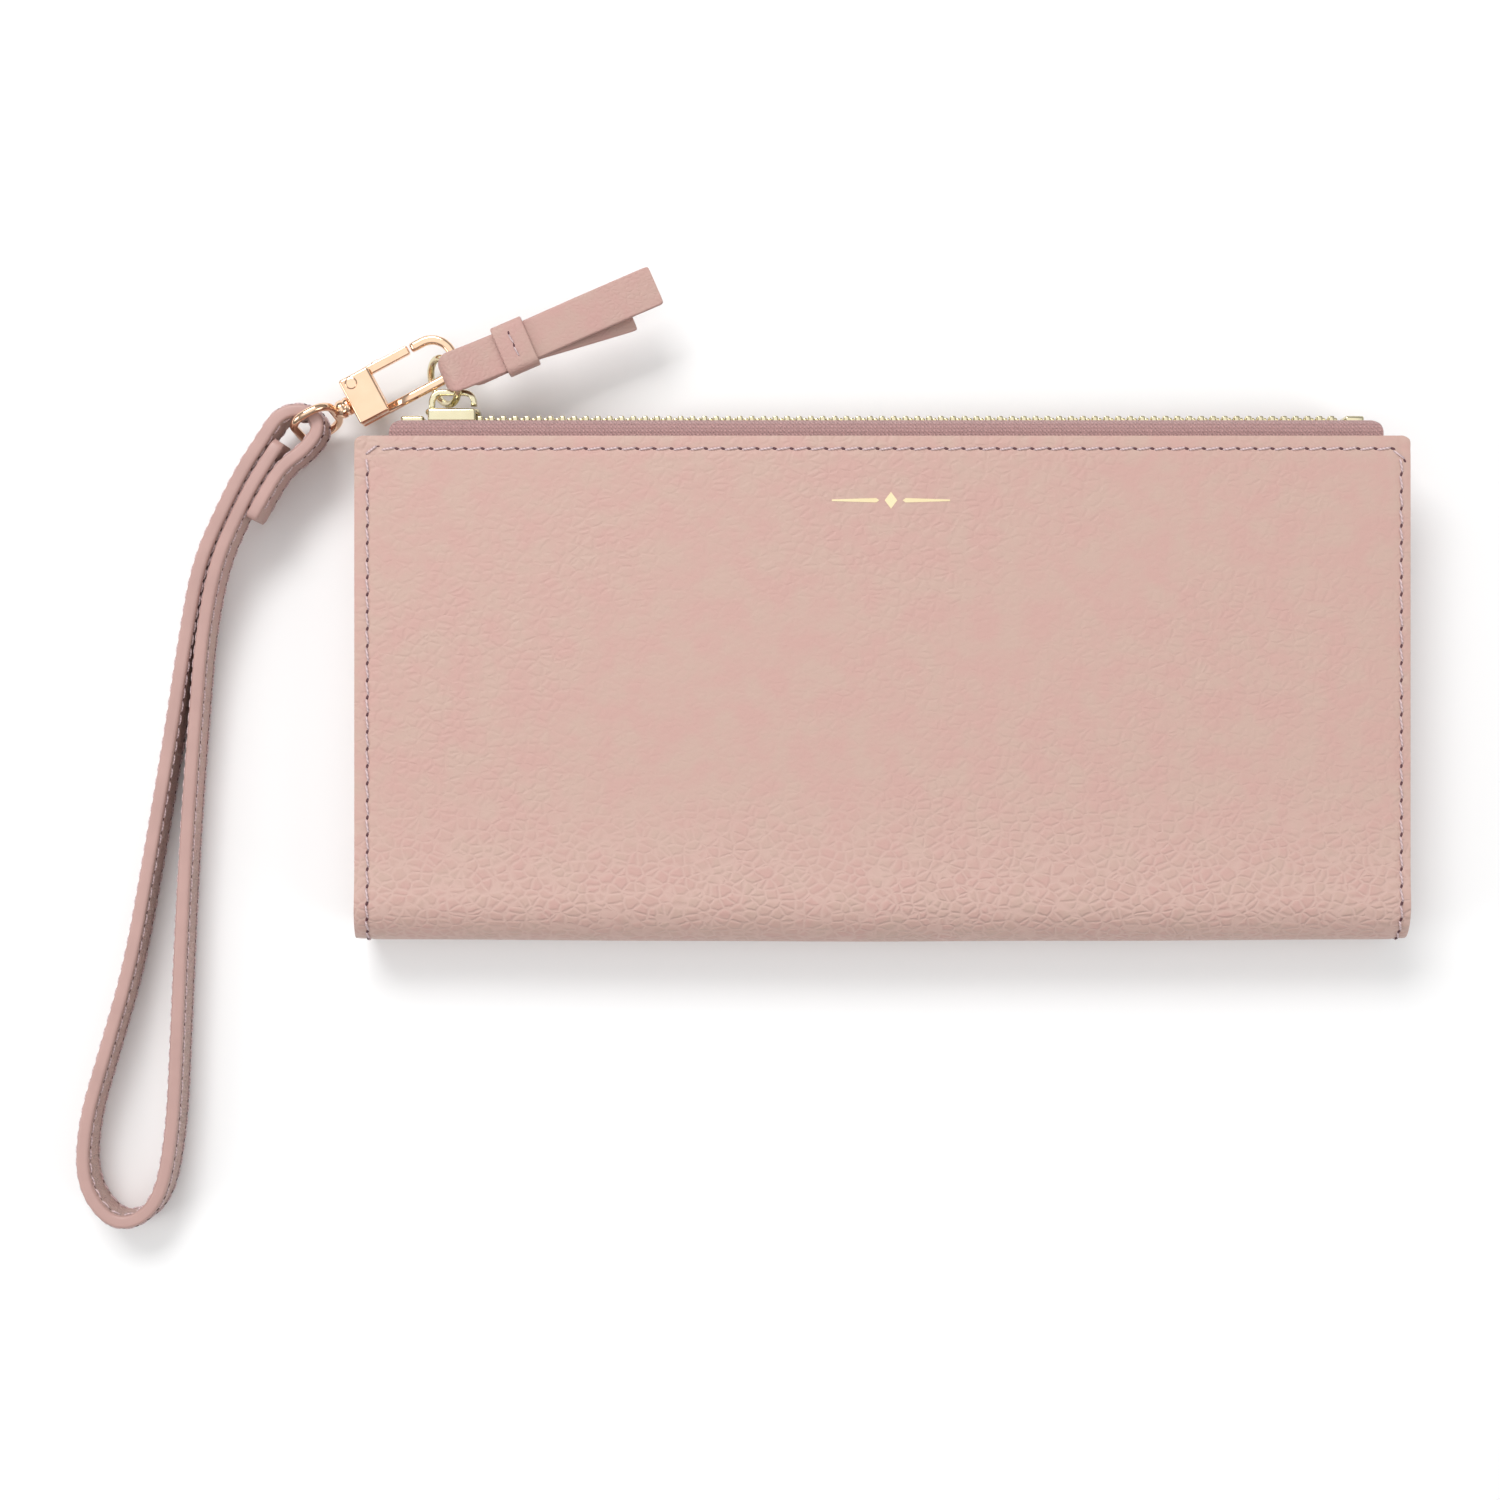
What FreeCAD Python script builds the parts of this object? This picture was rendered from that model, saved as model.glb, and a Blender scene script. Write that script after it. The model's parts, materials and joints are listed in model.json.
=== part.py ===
"""Wristlet wallet: a zip-top leather wallet with a wrist strap on a swivel snap hook.

Frame: millimetres. The wallet lies on its back panel. +X runs along the zip towards its end stop,
+Y points out of the zipped mouth, +Z out of the front panel. The origin is the centre of the back
panel's outer face.
"""
import FreeCAD, Part
import math
import os

V = FreeCAD.Vector

# ---- driving dimensions ----
WIDTH = 200.0            # wallet body along X
HEIGHT = 96.0            # wallet body along Y
DEPTH = 17.0             # wallet body along Z
LEATHER = 1.8            # panel thickness with its stiffener
LINING = 0.4
MID_Z = DEPTH / 2
FOLD_R = DEPTH / 2       # outer radius of the bottom fold
TOP_Y = HEIGHT / 2
FOLD_Y = -HEIGHT / 2 + FOLD_R
FOLD_SECTORS = 6         # the bent leather is laid down as sectors that meet face to face

# ---- zip ----
TAPE_LEFT = -93.8
TAPE_RIGHT = 95.5
TAPE = 0.6               # tape thickness
TAPE_TOP = TOP_Y + 3.3   # top of the tape's flat
TAPE_CORNER = 2.4        # its tucked ends are rounded
TAPE_BEND = 1.0          # height of the bend between the tape's wall and its flat
TAPE_HALF = 6.1          # half the distance between the tapes' outer walls
TOOTH_PITCH = 2.27
TOOTH_WIDTH = 1.15
TOOTH_IN = 0.3           # each row stops this far from the middle
TOOTH_OUT = 2.2
TEETH_LOW = TOP_Y + 3.0
TEETH_HIGH = TOP_Y + 4.6
TEETH_COUNT = 77
TEETH_START = -86.6
TOP_STOP = (-92.1, -87.7)
END_STOP = (89.1, 92.8)

# ---- slider ----
SLIDER_LEFT = -87.5
SLIDER_RIGHT = -76.9
SLIDER_HALF = 3.6
SLIDER_TOP = TEETH_HIGH + 1.35
SLIDER_LOW = TEETH_LOW - 2.0
BRIDGE_LEFT = -86.9
BRIDGE_RIGHT = -77.7
BRIDGE_TOP = SLIDER_TOP + 3.9
BRIDGE_BAND = 1.1
BRIDGE_HALF = 0.9

# ---- jump ring ----
RING_R = 4.5             # to the middle of the wire
RING_WIRE = 0.7          # wire radius
RING_LEAN = math.radians(112)     # from the bridge to the hook, in plan
RING_OPEN = math.radians(36)      # how far the ring's plane opens from edge-on
RING_LOW = V(-82.3, SLIDER_TOP + 1.4, MID_Z)

# ---- leather pull ----
PULL_ANGLE = math.radians(23.5)
PULL_LENGTH = 42.0
PULL_HALF = 3.9
PULL_SKIN = 1.0
PULL_EYE = 1.45          # inside radius of the fold round the ring
PULL_NECK = 2.0          # half width of the fold itself
KEEPER_START = 9.5
KEEPER_LENGTH = 6.3
KEEPER_SKIN = 0.9

# ---- snap hook ----
CLASP_ANGLE = math.radians(28)
HOOK_R = 4.15            # bend radius to the middle of the wire
HOOK_WIRE = 0.9
HOOK_NOSE = 2.5
RING_IN_HOOK = 0.75      # the ring sits this far past the bend's centre
BOX_START = 11.4
BOX_END = 17.7
BOX_HALF = 4.7
BOX_DEPTH = 2.4
GATE_TIP = 2.9
GATE_PIVOT = (15.6, 3.2)
GATE_EYE = 1.4
PIN_R = 0.6
PIN_CLEAR = 0.05
STEM_R = 0.9
STEM_CLEAR = 0.05
HEAD_R = 1.35
BARREL_R = 1.8
EYE_START = 20.4
EYE_END = 30.0
EYE_WIRE = 0.8
EYE_HALF = 5.8           # to the middle of the wire, across the clasp
EYE_CORNER = 2.0
EYE_TURN = math.radians(14)

# ---- wrist strap ----
STRAP_WIDTH = 8.6
STRAP_THICK = 2.4
STRAP_HIGH = MID_Z       # middle of the strap's width at the clasp
STRAP_LOW = 4.6          # and where it stands on its edge on the table
STRAP_SLOPE = (40.0, -5.0)        # it comes down between these two Y values
STRAP_ROUTE = [
    (-120.6, 32.7), (-118.0, 37.5), (-114.6, 42.9), (-110.3, 46.0), (-107.3, 50.0),
    (-109.2, 53.6), (-115.0, 53.2), (-118.6, 47.6), (-121.9, 42.6), (-125.6, 35.4),
    (-130.8, 24.5), (-133.9, 9.5), (-137.0, -9.6), (-141.0, -33.0), (-144.6, -53.0),
    (-149.5, -70.0), (-153.6, -84.0), (-153.9, -96.0), (-147.4, -103.9), (-139.3, -100.0),
    (-136.5, -86.0), (-135.6, -66.0), (-134.7, -45.0), (-133.4, -22.0), (-131.9, -3.0),
    (-130.6, 10.5), (-127.6, 24.5), (-122.6, 35.0), (-119.1, 41.5), (-115.1, 47.5),
]

os.makedirs("parts", exist_ok=True)


def save(name, shape):
    shape.exportStep("parts/" + name + ".step")


def block(low, high):
    size = V(*high) - V(*low)
    return Part.makeBox(size.x, size.y, size.z, V(*low))


def prism(points, along):
    """A polygon of 3-D points pushed along a vector."""
    wire = Part.makePolygon([V(*p) for p in points] + [V(*points[0])])
    return Part.Face(wire).extrude(along)


def cylinder(radius, start, end):
    return Part.makeCylinder(radius, (end - start).Length, start, end - start)


# ---- wallet body ----
def panels():
    x = WIDTH / 2
    save("front_panel", block((-x, FOLD_Y, DEPTH - LEATHER), (x, TOP_Y, DEPTH)))
    save("back_panel", block((-x, FOLD_Y, 0), (x, TOP_Y, LEATHER)))
    save("bottom_fold", bottom_fold(V(-x, FOLD_Y, MID_Z)))


def bottom_fold(centre):
    """The leather bent round the bottom, from the front panel to the back panel."""
    tube = Part.makeCylinder(FOLD_R, WIDTH, centre, V(1, 0, 0))
    tube = tube.cut(Part.makeCylinder(FOLD_R - LEATHER, WIDTH, centre, V(1, 0, 0)))

    def ray(sector):
        angle = math.pi * sector / FOLD_SECTORS
        return centre + V(0, -math.sin(angle), math.cos(angle)) * (2 * FOLD_R)

    wedges = [prism([centre, ray(i), ray(i + 1)], V(WIDTH, 0, 0)) for i in range(FOLD_SECTORS)]
    return Part.makeCompound([tube.common(wedge) for wedge in wedges])


def inside():
    inner = LEATHER + LINING
    side = WIDTH / 2 - 4
    top = TOP_Y - 2
    save("lining_back", block((-side, FOLD_Y, LEATHER), (side, top, inner)))
    save("lining_front", block((-side, FOLD_Y, DEPTH - inner), (side, top, DEPTH - LEATHER)))
    divider = 1.0
    save("divider", block((-86, FOLD_Y, MID_Z - divider / 2), (86, TOP_Y - 7, MID_Z + divider / 2)))
    for name, x0, x1 in (("card_slots_left", -84, -1), ("card_slots_right", 1, 84)):
        save(name, card_slots(x0, x1, inner))


def card_slots(x0, x1, base):
    """Four pockets stacked like steps, each one lower and further forward than the last."""
    ply = 0.5
    step = 9.0
    highest = 26.0
    profile = [(x0, FOLD_Y, base), (x0, highest, base)]
    for i in range(4):
        y = highest - i * step
        profile.append((x0, y, base + (i + 1) * ply))
        profile.append((x0, y - step if i < 3 else FOLD_Y, base + (i + 1) * ply))
    return prism(profile, V(x1 - x0, 0, 0))


def gussets():
    """V-folded side walls between the panels, with the fold pointing inwards."""
    skin = 0.8
    outer = WIDTH / 2 - 0.6
    apex = WIDTH / 2 - 9.5
    low = LEATHER
    high = DEPTH - LEATHER
    for name, side in (("gusset_left", -1), ("gusset_right", 1)):
        profile = [
            (side * outer, FOLD_Y, low), (side * (outer - 3), FOLD_Y, low),
            (side * apex, FOLD_Y, MID_Z), (side * (outer - 3), FOLD_Y, high),
            (side * outer, FOLD_Y, high), (side * outer, FOLD_Y, high - skin),
            (side * (outer - 2.6), FOLD_Y, high - skin), (side * (apex + skin * 1.3), FOLD_Y, MID_Z),
            (side * (outer - 2.6), FOLD_Y, low + skin), (side * outer, FOLD_Y, low + skin),
        ]
        wall = prism(profile, V(0, TOP_Y - 6.3 - FOLD_Y, 0))
        room = WIDTH / 2 - 4
        linings = block((-room, FOLD_Y, low), (room, TOP_Y, low + LINING))
        linings = linings.fuse(block((-room, FOLD_Y, high - LINING), (room, TOP_Y, high)))
        save(name, wall.cut(linings))


# ---- zip ----
def zip_side(side):
    """side is +1 for the front tape and row, -1 for the back."""
    def z(offset):
        return MID_Z + side * offset
    wall_low = TOP_Y - 6
    tape_half = TAPE_HALF - 0.2
    profile = [
        (TAPE_LEFT, TAPE_TOP, z(TOOTH_OUT)), (TAPE_LEFT, TAPE_TOP, z(tape_half - 0.7)),
        (TAPE_LEFT, TAPE_TOP - 0.7, z(tape_half)), (TAPE_LEFT, wall_low, z(tape_half)),
        (TAPE_LEFT, wall_low, z(tape_half - TAPE)),
        (TAPE_LEFT, TAPE_TOP - TAPE_BEND, z(tape_half - TAPE)),
        (TAPE_LEFT, TAPE_TOP - TAPE, z(tape_half - 1.0)), (TAPE_LEFT, TAPE_TOP - TAPE, z(TOOTH_OUT)),
    ]
    tape = prism(profile, V(TAPE_RIGHT - TAPE_LEFT, 0, 0))
    outline = block((TAPE_LEFT, wall_low, 0), (TAPE_RIGHT, TAPE_TOP, DEPTH))
    corners = [e for e in outline.Edges if e.BoundBox.ZLength > DEPTH / 2 and e.BoundBox.YMax > TOP_Y]
    tape = tape.common(outline.makeFillet(TAPE_CORNER, corners))
    bend = block((TAPE_LEFT, TAPE_TOP - TAPE_BEND, 0), (TAPE_RIGHT, TAPE_TOP, DEPTH))
    tape = Part.makeCompound([tape.cut(bend), tape.common(bend)])
    shift = 0.0 if side > 0 else TOOTH_PITCH / 2
    teeth = []
    for i in range(TEETH_COUNT):
        x = TEETH_START + shift + i * TOOTH_PITCH
        near, far = sorted((z(TOOTH_IN), z(TOOTH_OUT)))
        teeth.append(block((x, TEETH_LOW, near), (x + TOOTH_WIDTH, TEETH_HIGH, far)))
    return tape, Part.makeCompound(teeth)


def zip_parts():
    for name, side in (("front", 1), ("back", -1)):
        tape, teeth = zip_side(side)
        save("zip_tape_" + name, tape)
        save("zip_teeth_" + name, teeth)
    for name, ends in (("zip_top_stop", TOP_STOP), ("zip_end_stop", END_STOP)):
        low = (ends[0], TEETH_LOW - 0.3, MID_Z - TOOTH_OUT)
        high = (ends[1], TEETH_HIGH, MID_Z + TOOTH_OUT)
        plate = block(low, high)
        save(name, plate.makeFillet(0.35, [e for e in plate.Edges if abs(e.Curve.Direction.z) > 0.9]))


def slider():
    gap = 0.25
    flange = TOOTH_OUT + gap
    tape_gap = 0.2
    upper = block((SLIDER_LEFT, TAPE_TOP + tape_gap, MID_Z - SLIDER_HALF),
                  (SLIDER_RIGHT, SLIDER_TOP, MID_Z + SLIDER_HALF))
    upper = upper.cut(block((SLIDER_LEFT, TAPE_TOP, MID_Z - flange),
                            (SLIDER_RIGHT, TEETH_HIGH + gap, MID_Z + flange)))
    lower = block((SLIDER_LEFT + 0.6, SLIDER_LOW, MID_Z - SLIDER_HALF),
                  (SLIDER_RIGHT - 0.6, TAPE_TOP - TAPE - tape_gap, MID_Z + SLIDER_HALF))
    lower = lower.cut(block((SLIDER_LEFT, TAPE_TOP - 1.2, MID_Z - flange),
                            (SLIDER_RIGHT, TEETH_HIGH, MID_Z + flange)))
    web = block((SLIDER_LEFT + 0.8, SLIDER_LOW, MID_Z - 0.15),
                (SLIDER_LEFT + 3.8, SLIDER_TOP, MID_Z + 0.15))
    body = upper.fuse([lower, web]).removeSplitter()
    save("slider_body", body)
    save("slider_bridge", bridge())


def bridge():
    """A C-shaped arch: its left leg stands on the slider and its right end stops just above it."""
    middle = (BRIDGE_LEFT + BRIDGE_RIGHT) / 2
    half = (BRIDGE_RIGHT - BRIDGE_LEFT) / 2
    rise = BRIDGE_TOP - SLIDER_TOP
    z0 = MID_Z - BRIDGE_HALF

    def arch(inset):
        width = half - inset
        corner = min(2.2, rise) - inset
        top = BRIDGE_TOP - inset
        left = middle - width
        right = middle + width
        bend = corner * math.sqrt(0.5)
        points = [V(left, SLIDER_TOP, z0), V(left, top - corner, z0),
                  V(left + corner - bend, top - corner + bend, z0), V(left + corner, top, z0),
                  V(right - corner, top, z0), V(right - corner + bend, top - corner + bend, z0),
                  V(right, top - corner, z0), V(right, SLIDER_TOP, z0)]
        edges = [Part.LineSegment(points[0], points[1]).toShape(),
                 Part.Arc(points[1], points[2], points[3]).toShape(),
                 Part.LineSegment(points[3], points[4]).toShape(),
                 Part.Arc(points[4], points[5], points[6]).toShape(),
                 Part.LineSegment(points[6], points[7]).toShape(),
                 Part.LineSegment(points[7], points[0]).toShape()]
        return Part.Face(Part.Wire(edges)).extrude(V(0, 0, 2 * BRIDGE_HALF))

    free_gap = 0.6
    band = arch(0).cut(arch(BRIDGE_BAND))
    return band.cut(block((middle, SLIDER_TOP, z0), (BRIDGE_RIGHT + 1, SLIDER_TOP + free_gap, z0 + 3)))


# ---- jump ring ----
RING_ALONG = V(math.cos(RING_LEAN), math.sin(RING_LEAN), 0)
RING_ACROSS = V(math.sin(RING_LEAN), -math.cos(RING_LEAN), 0)
RING_FRONT = RING_ACROSS * math.sin(RING_OPEN) + V(0, 0, 1) * math.cos(RING_OPEN)
RING_CENTRE = RING_LOW + RING_ALONG * RING_R
RING_AT_HOOK = RING_LOW + RING_ALONG * (2 * RING_R)
RING_AT_PULL = RING_CENTRE + RING_FRONT * RING_R


def jump_ring():
    normal = RING_ALONG.cross(RING_FRONT)
    save("jump_ring", Part.makeTorus(RING_R, RING_WIRE, RING_CENTRE, normal))


# ---- leather pull ----
PULL_ALONG = V(math.cos(PULL_ANGLE), math.sin(PULL_ANGLE), 0)
PULL_ACROSS = V(-math.sin(PULL_ANGLE), math.cos(PULL_ANGLE), 0)


def pull_point(along, across, up):
    return RING_AT_PULL + PULL_ALONG * along + PULL_ACROSS * across + V(0, 0, up)


def pull_box(low, high):
    corner = pull_point(*low)
    face = [corner, pull_point(high[0], low[1], low[2]), pull_point(high[0], high[1], low[2]),
            pull_point(low[0], high[1], low[2])]
    return prism([tuple(p) for p in face], V(0, 0, high[2] - low[2]))


def teardrop(radius, reach, half):
    """Rounded end of the fold at the ring, narrowing to a flat strip of that half thickness."""
    a = pull_point(0, -PULL_HALF, radius)
    b = pull_point(-radius, -PULL_HALF, 0)
    c = pull_point(0, -PULL_HALF, -radius)
    d = pull_point(reach, -PULL_HALF, -half)
    e = pull_point(PULL_LENGTH, -PULL_HALF, -half)
    f = pull_point(PULL_LENGTH, -PULL_HALF, half)
    g = pull_point(reach, -PULL_HALF, half)
    edges = [Part.Arc(a, b, c).toShape()]
    for p, q in ((c, d), (d, e), (e, f), (f, g), (g, a)):
        edges.append(Part.LineSegment(p, q).toShape())
    return Part.Face(Part.Wire(edges)).extrude(PULL_ACROSS * (2 * PULL_HALF))


def pull():
    slit = 0.1
    half = PULL_SKIN + slit
    strip = teardrop(PULL_EYE + PULL_SKIN, KEEPER_START, half).cut(teardrop(PULL_EYE, KEEPER_START, slit))
    for side in (-1, 1):
        low, high = sorted((side * PULL_NECK, side * (PULL_HALF + 1)))
        strip = strip.cut(pull_box((-4, low, -4), (0.9, high, PULL_EYE - 0.02)))
    save("pull_strip", strip)
    gap = 0.02
    inner = pull_box((KEEPER_START - 1, -PULL_HALF - gap, -half - gap),
                     (KEEPER_START + KEEPER_LENGTH + 1, PULL_HALF + gap, half + gap))
    outer_half = half + gap + KEEPER_SKIN
    outer = pull_box((KEEPER_START, -PULL_HALF - gap - KEEPER_SKIN, -outer_half),
                     (KEEPER_START + KEEPER_LENGTH, PULL_HALF + gap + KEEPER_SKIN, outer_half))
    save("pull_keeper", outer.cut(inner))


# ---- snap hook, in its own lengthwise (back from the bend) and crosswise directions ----
CLASP_BACK = V(-math.cos(CLASP_ANGLE), -math.sin(CLASP_ANGLE), 0)
CLASP_UP = V(-math.sin(CLASP_ANGLE), math.cos(CLASP_ANGLE), 0)
HOOK_CENTRE = RING_AT_HOOK + CLASP_BACK * RING_IN_HOOK


def clasp_point(back, up, z=0.0):
    return HOOK_CENTRE + CLASP_BACK * back + CLASP_UP * up + V(0, 0, z)


def clasp_box(low, high):
    face = [clasp_point(*low), clasp_point(high[0], low[1], low[2]),
            clasp_point(high[0], high[1], low[2]), clasp_point(low[0], high[1], low[2])]
    return prism([tuple(p) for p in face], V(0, 0, high[2] - low[2]))


def swept(wire_radius, edges, start, direction):
    path = Part.Wire(edges)
    circle = Part.Wire([Part.Circle(start, direction, wire_radius).toShape()])
    return path.makePipeShell([circle], True, True)


def clasp():
    pivot = clasp_point(*GATE_PIVOT)
    box = clasp_box((BOX_START, -BOX_HALF, -BOX_DEPTH), (BOX_END, BOX_HALF, BOX_DEPTH))
    upright = [e for e in box.Edges if e.BoundBox.ZLength > 2 * BOX_DEPTH - 0.01]
    box = box.makeFillet(0.8, upright)
    slot = 1.0
    box = box.cut(clasp_box((BOX_START - 1, 1.15, -slot), (BOX_END - 0.6, BOX_HALF + 1, slot)))
    box = box.cut(cylinder(PIN_R, pivot - V(0, 0, 5), pivot + V(0, 0, 5)))
    box = box.cut(cylinder(STEM_R + STEM_CLEAR, clasp_point(BOX_END - 2, 0), clasp_point(BOX_END + 1, 0)))
    room = cylinder(HEAD_R + STEM_CLEAR, clasp_point(BOX_END - 2.2, 0), clasp_point(BOX_END - 0.95, 0))
    save("clasp_body", box.cut(room))

    a = clasp_point(BOX_START, -HOOK_R)
    b = clasp_point(0, -HOOK_R)
    c = clasp_point(-HOOK_R, 0)
    d = clasp_point(0, HOOK_R)
    e = clasp_point(HOOK_NOSE, HOOK_R)
    edges = [Part.LineSegment(a, b).toShape(), Part.Arc(b, c, d).toShape(), Part.LineSegment(d, e).toShape()]
    save("clasp_hook", swept(HOOK_WIRE, edges, a, CLASP_BACK * -1))

    head = 1.2
    pin = cylinder(PIN_R, pivot - V(0, 0, BOX_DEPTH), pivot + V(0, 0, BOX_DEPTH))
    rivet = cylinder(head, pivot + V(0, 0, BOX_DEPTH), pivot + V(0, 0, BOX_DEPTH + 0.25))
    rivet_back = cylinder(head, pivot - V(0, 0, BOX_DEPTH + 0.25), pivot - V(0, 0, BOX_DEPTH))
    save("gate_pin", pin.fuse([rivet, rivet_back]).removeSplitter())
    save("gate_spring", clasp_box((BOX_START + 0.4, 1.2, -0.7), (BOX_START + 2.6, 1.4, 0.7)))


def gate():
    pivot = clasp_point(*GATE_PIVOT)
    thick = 0.8
    tip_low = HOOK_R - HOOK_WIRE
    tip_high = HOOK_R + HOOK_WIRE
    arm = clasp_box((GATE_TIP, tip_low, -thick), (BOX_START - 0.15, tip_high, thick))
    root_top = BOX_HALF - 0.1
    root = clasp_box((BOX_START - 0.2, tip_low, -thick), (GATE_PIVOT[0], root_top, thick))
    eye = cylinder(GATE_EYE, pivot - V(0, 0, thick), pivot + V(0, 0, thick))
    bore = cylinder(PIN_R + PIN_CLEAR, pivot - V(0, 0, 2), pivot + V(0, 0, 2))
    save("clasp_gate", arm.fuse([root, eye]).removeSplitter().cut(bore))


def swivel_eye():
    tall = V(0, 0, 1) * math.cos(EYE_TURN) + CLASP_UP * math.sin(EYE_TURN)
    near = EYE_START + EYE_WIRE
    far = EYE_END - EYE_WIRE

    def at(back, up):
        return HOOK_CENTRE + CLASP_BACK * back + tall * up

    bend = EYE_CORNER * (1 - math.sqrt(0.5))
    corners = []
    for back, up, sb, su in ((near, EYE_HALF, 1, -1), (far, EYE_HALF, -1, -1),
                             (far, -EYE_HALF, -1, 1), (near, -EYE_HALF, 1, 1)):
        corners.append((at(back, up + su * EYE_CORNER), at(back + sb * bend, up + su * bend),
                        at(back + sb * EYE_CORNER, up)))
    first, second, third, fourth = corners
    start = at(near, 0)
    edges = [
        Part.LineSegment(start, first[0]).toShape(),
        Part.Arc(first[0], first[1], first[2]).toShape(),
        Part.LineSegment(first[2], second[2]).toShape(),
        Part.Arc(second[2], second[1], second[0]).toShape(),
        Part.LineSegment(second[0], third[0]).toShape(),
        Part.Arc(third[0], third[1], third[2]).toShape(),
        Part.LineSegment(third[2], fourth[2]).toShape(),
        Part.Arc(fourth[2], fourth[1], fourth[0]).toShape(),
        Part.LineSegment(fourth[0], start).toShape(),
    ]
    loop = swept(EYE_WIRE, edges, start, tall)
    stem = cylinder(STEM_R, clasp_point(BOX_END - 2.0, 0), clasp_point(EYE_START + 0.5, 0))
    head = cylinder(HEAD_R, clasp_point(BOX_END - 2.1, 0), clasp_point(BOX_END - 1.05, 0))
    barrel = cylinder(BARREL_R, clasp_point(BOX_END + 0.15, 0), clasp_point(EYE_START + 0.9, 0))
    save("swivel_eye", loop.fuse([stem, head, barrel]).removeSplitter())


# ---- wrist strap ----
def rounded_route(points):
    """Straight runs joined by tangent arcs, each as large as its two runs allow."""
    share = 0.45
    edges = []
    radii = []
    at = points[0]
    for before, corner, after in zip(points, points[1:], points[2:]):
        back = before - corner
        ahead = after - corner
        cut = share * min(back.Length, ahead.Length)
        back.normalize()
        ahead.normalize()
        turn = math.pi - back.getAngle(ahead)
        radius = cut / math.tan(turn / 2)
        start = corner + back * cut
        end = corner + ahead * cut
        inward = (back + ahead).normalize()
        centre = corner + inward * (cut / math.sin(turn / 2) if turn > 0 else 0)
        middle = centre - inward * radius
        edges.append(Part.LineSegment(at, start).toShape())
        edges.append(Part.Arc(start, middle, end).toShape())
        radii.append(radius)
        at = end
    edges.append(Part.LineSegment(at, points[-1]).toShape())
    return edges, radii


def strap():
    points = [V(x, y, 0) for x, y in STRAP_ROUTE]
    edges, radii = rounded_route(points)
    line = Part.Wire(edges)
    print("strap length", round(line.Length, 1), "smallest radius", round(min(radii), 2))
    print("strap radii", [round(r, 1) for r in radii])
    section = Part.makePolygon(strap_section(edges[0]))
    ribbon = line.makePipeShell([section], True, True)
    high, low = STRAP_SLOPE
    half = STRAP_WIDTH / 2
    far = 140.0
    middle = [(far, STRAP_HIGH), (high, STRAP_HIGH), (low, STRAP_LOW), (-far, STRAP_LOW)]
    outline = [(-200, y, z + half) for y, z in middle] + [(-200, y, z - half) for y, z in reversed(middle)]
    band = prism(outline, V(150, 0, 0))
    solid = ribbon.common(band)
    print("strap volume", round(solid.Volume, 1), "section x length",
          round(line.Length * STRAP_WIDTH * STRAP_THICK, 1))
    save("wrist_strap", solid.Solids[0] if len(solid.Solids) == 1 else solid)


def strap_section(first_edge):
    start = first_edge.valueAt(first_edge.FirstParameter)
    direction = first_edge.tangentAt(first_edge.FirstParameter)
    side = V(-direction.y, direction.x, 0) * (STRAP_THICK / 2)
    up = V(0, 0, DEPTH)
    down = V(0, 0, -2)
    corners = [start + side + down, start + side + up, start - side + up, start - side + down]
    return corners + [corners[0]]


panels()
inside()
gussets()
zip_parts()
slider()
jump_ring()
pull()
clasp()
gate()
swivel_eye()
strap()
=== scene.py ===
import bmesh
import bpy
import json
import math
from mathutils import Matrix, Vector, noise


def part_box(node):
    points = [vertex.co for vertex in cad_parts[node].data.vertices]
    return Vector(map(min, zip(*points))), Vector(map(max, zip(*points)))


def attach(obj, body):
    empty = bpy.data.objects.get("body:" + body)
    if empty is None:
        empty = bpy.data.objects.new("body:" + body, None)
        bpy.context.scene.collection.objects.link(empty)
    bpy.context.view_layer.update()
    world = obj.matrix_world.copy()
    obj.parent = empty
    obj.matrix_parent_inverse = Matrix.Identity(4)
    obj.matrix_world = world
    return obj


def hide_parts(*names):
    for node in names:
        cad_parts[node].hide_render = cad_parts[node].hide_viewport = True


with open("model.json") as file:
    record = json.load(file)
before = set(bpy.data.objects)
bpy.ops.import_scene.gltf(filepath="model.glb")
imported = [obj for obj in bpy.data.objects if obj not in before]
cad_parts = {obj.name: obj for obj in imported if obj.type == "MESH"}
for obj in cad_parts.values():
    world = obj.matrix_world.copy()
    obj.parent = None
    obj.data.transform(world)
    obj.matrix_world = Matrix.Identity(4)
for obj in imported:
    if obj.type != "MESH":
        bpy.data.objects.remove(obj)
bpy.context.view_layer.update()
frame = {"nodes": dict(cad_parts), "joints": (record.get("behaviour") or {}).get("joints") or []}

MM = 0.001
V = Vector
EX, EY, EZ = V((1, 0, 0)), V((0, 1, 0)), V((0, 0, 1))
AXES = (EX, EY, EZ)
JOINTS = {joint["name"]: joint for joint in frame["joints"]}

# ---- the photograph's camera: straight above the front panel ----
CAMERA_X = -25.07 * MM
CAMERA_Y = -11.54 * MM
CAMERA_HEIGHT = 450 * MM          # above the front panel
VIEW_WIDTH = 283.8 * MM           # seen at the front panel
SENSOR = 36.0

# ---- the wallet, read from the frame ----
FRONT_LOW, FRONT_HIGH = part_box("front_panel")
FOLD_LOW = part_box("bottom_fold")[0]
DEPTH = FRONT_HIGH[2]
PANEL = FRONT_HIGH[2] - FRONT_LOW[2]
HALF_X = FRONT_HIGH[0]
TOP_Y = FRONT_HIGH[1]
FOLD_Y = FRONT_LOW[1]
FOLD_R = FOLD_Y - FOLD_LOW[1]
MID_Z = DEPTH / 2

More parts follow.
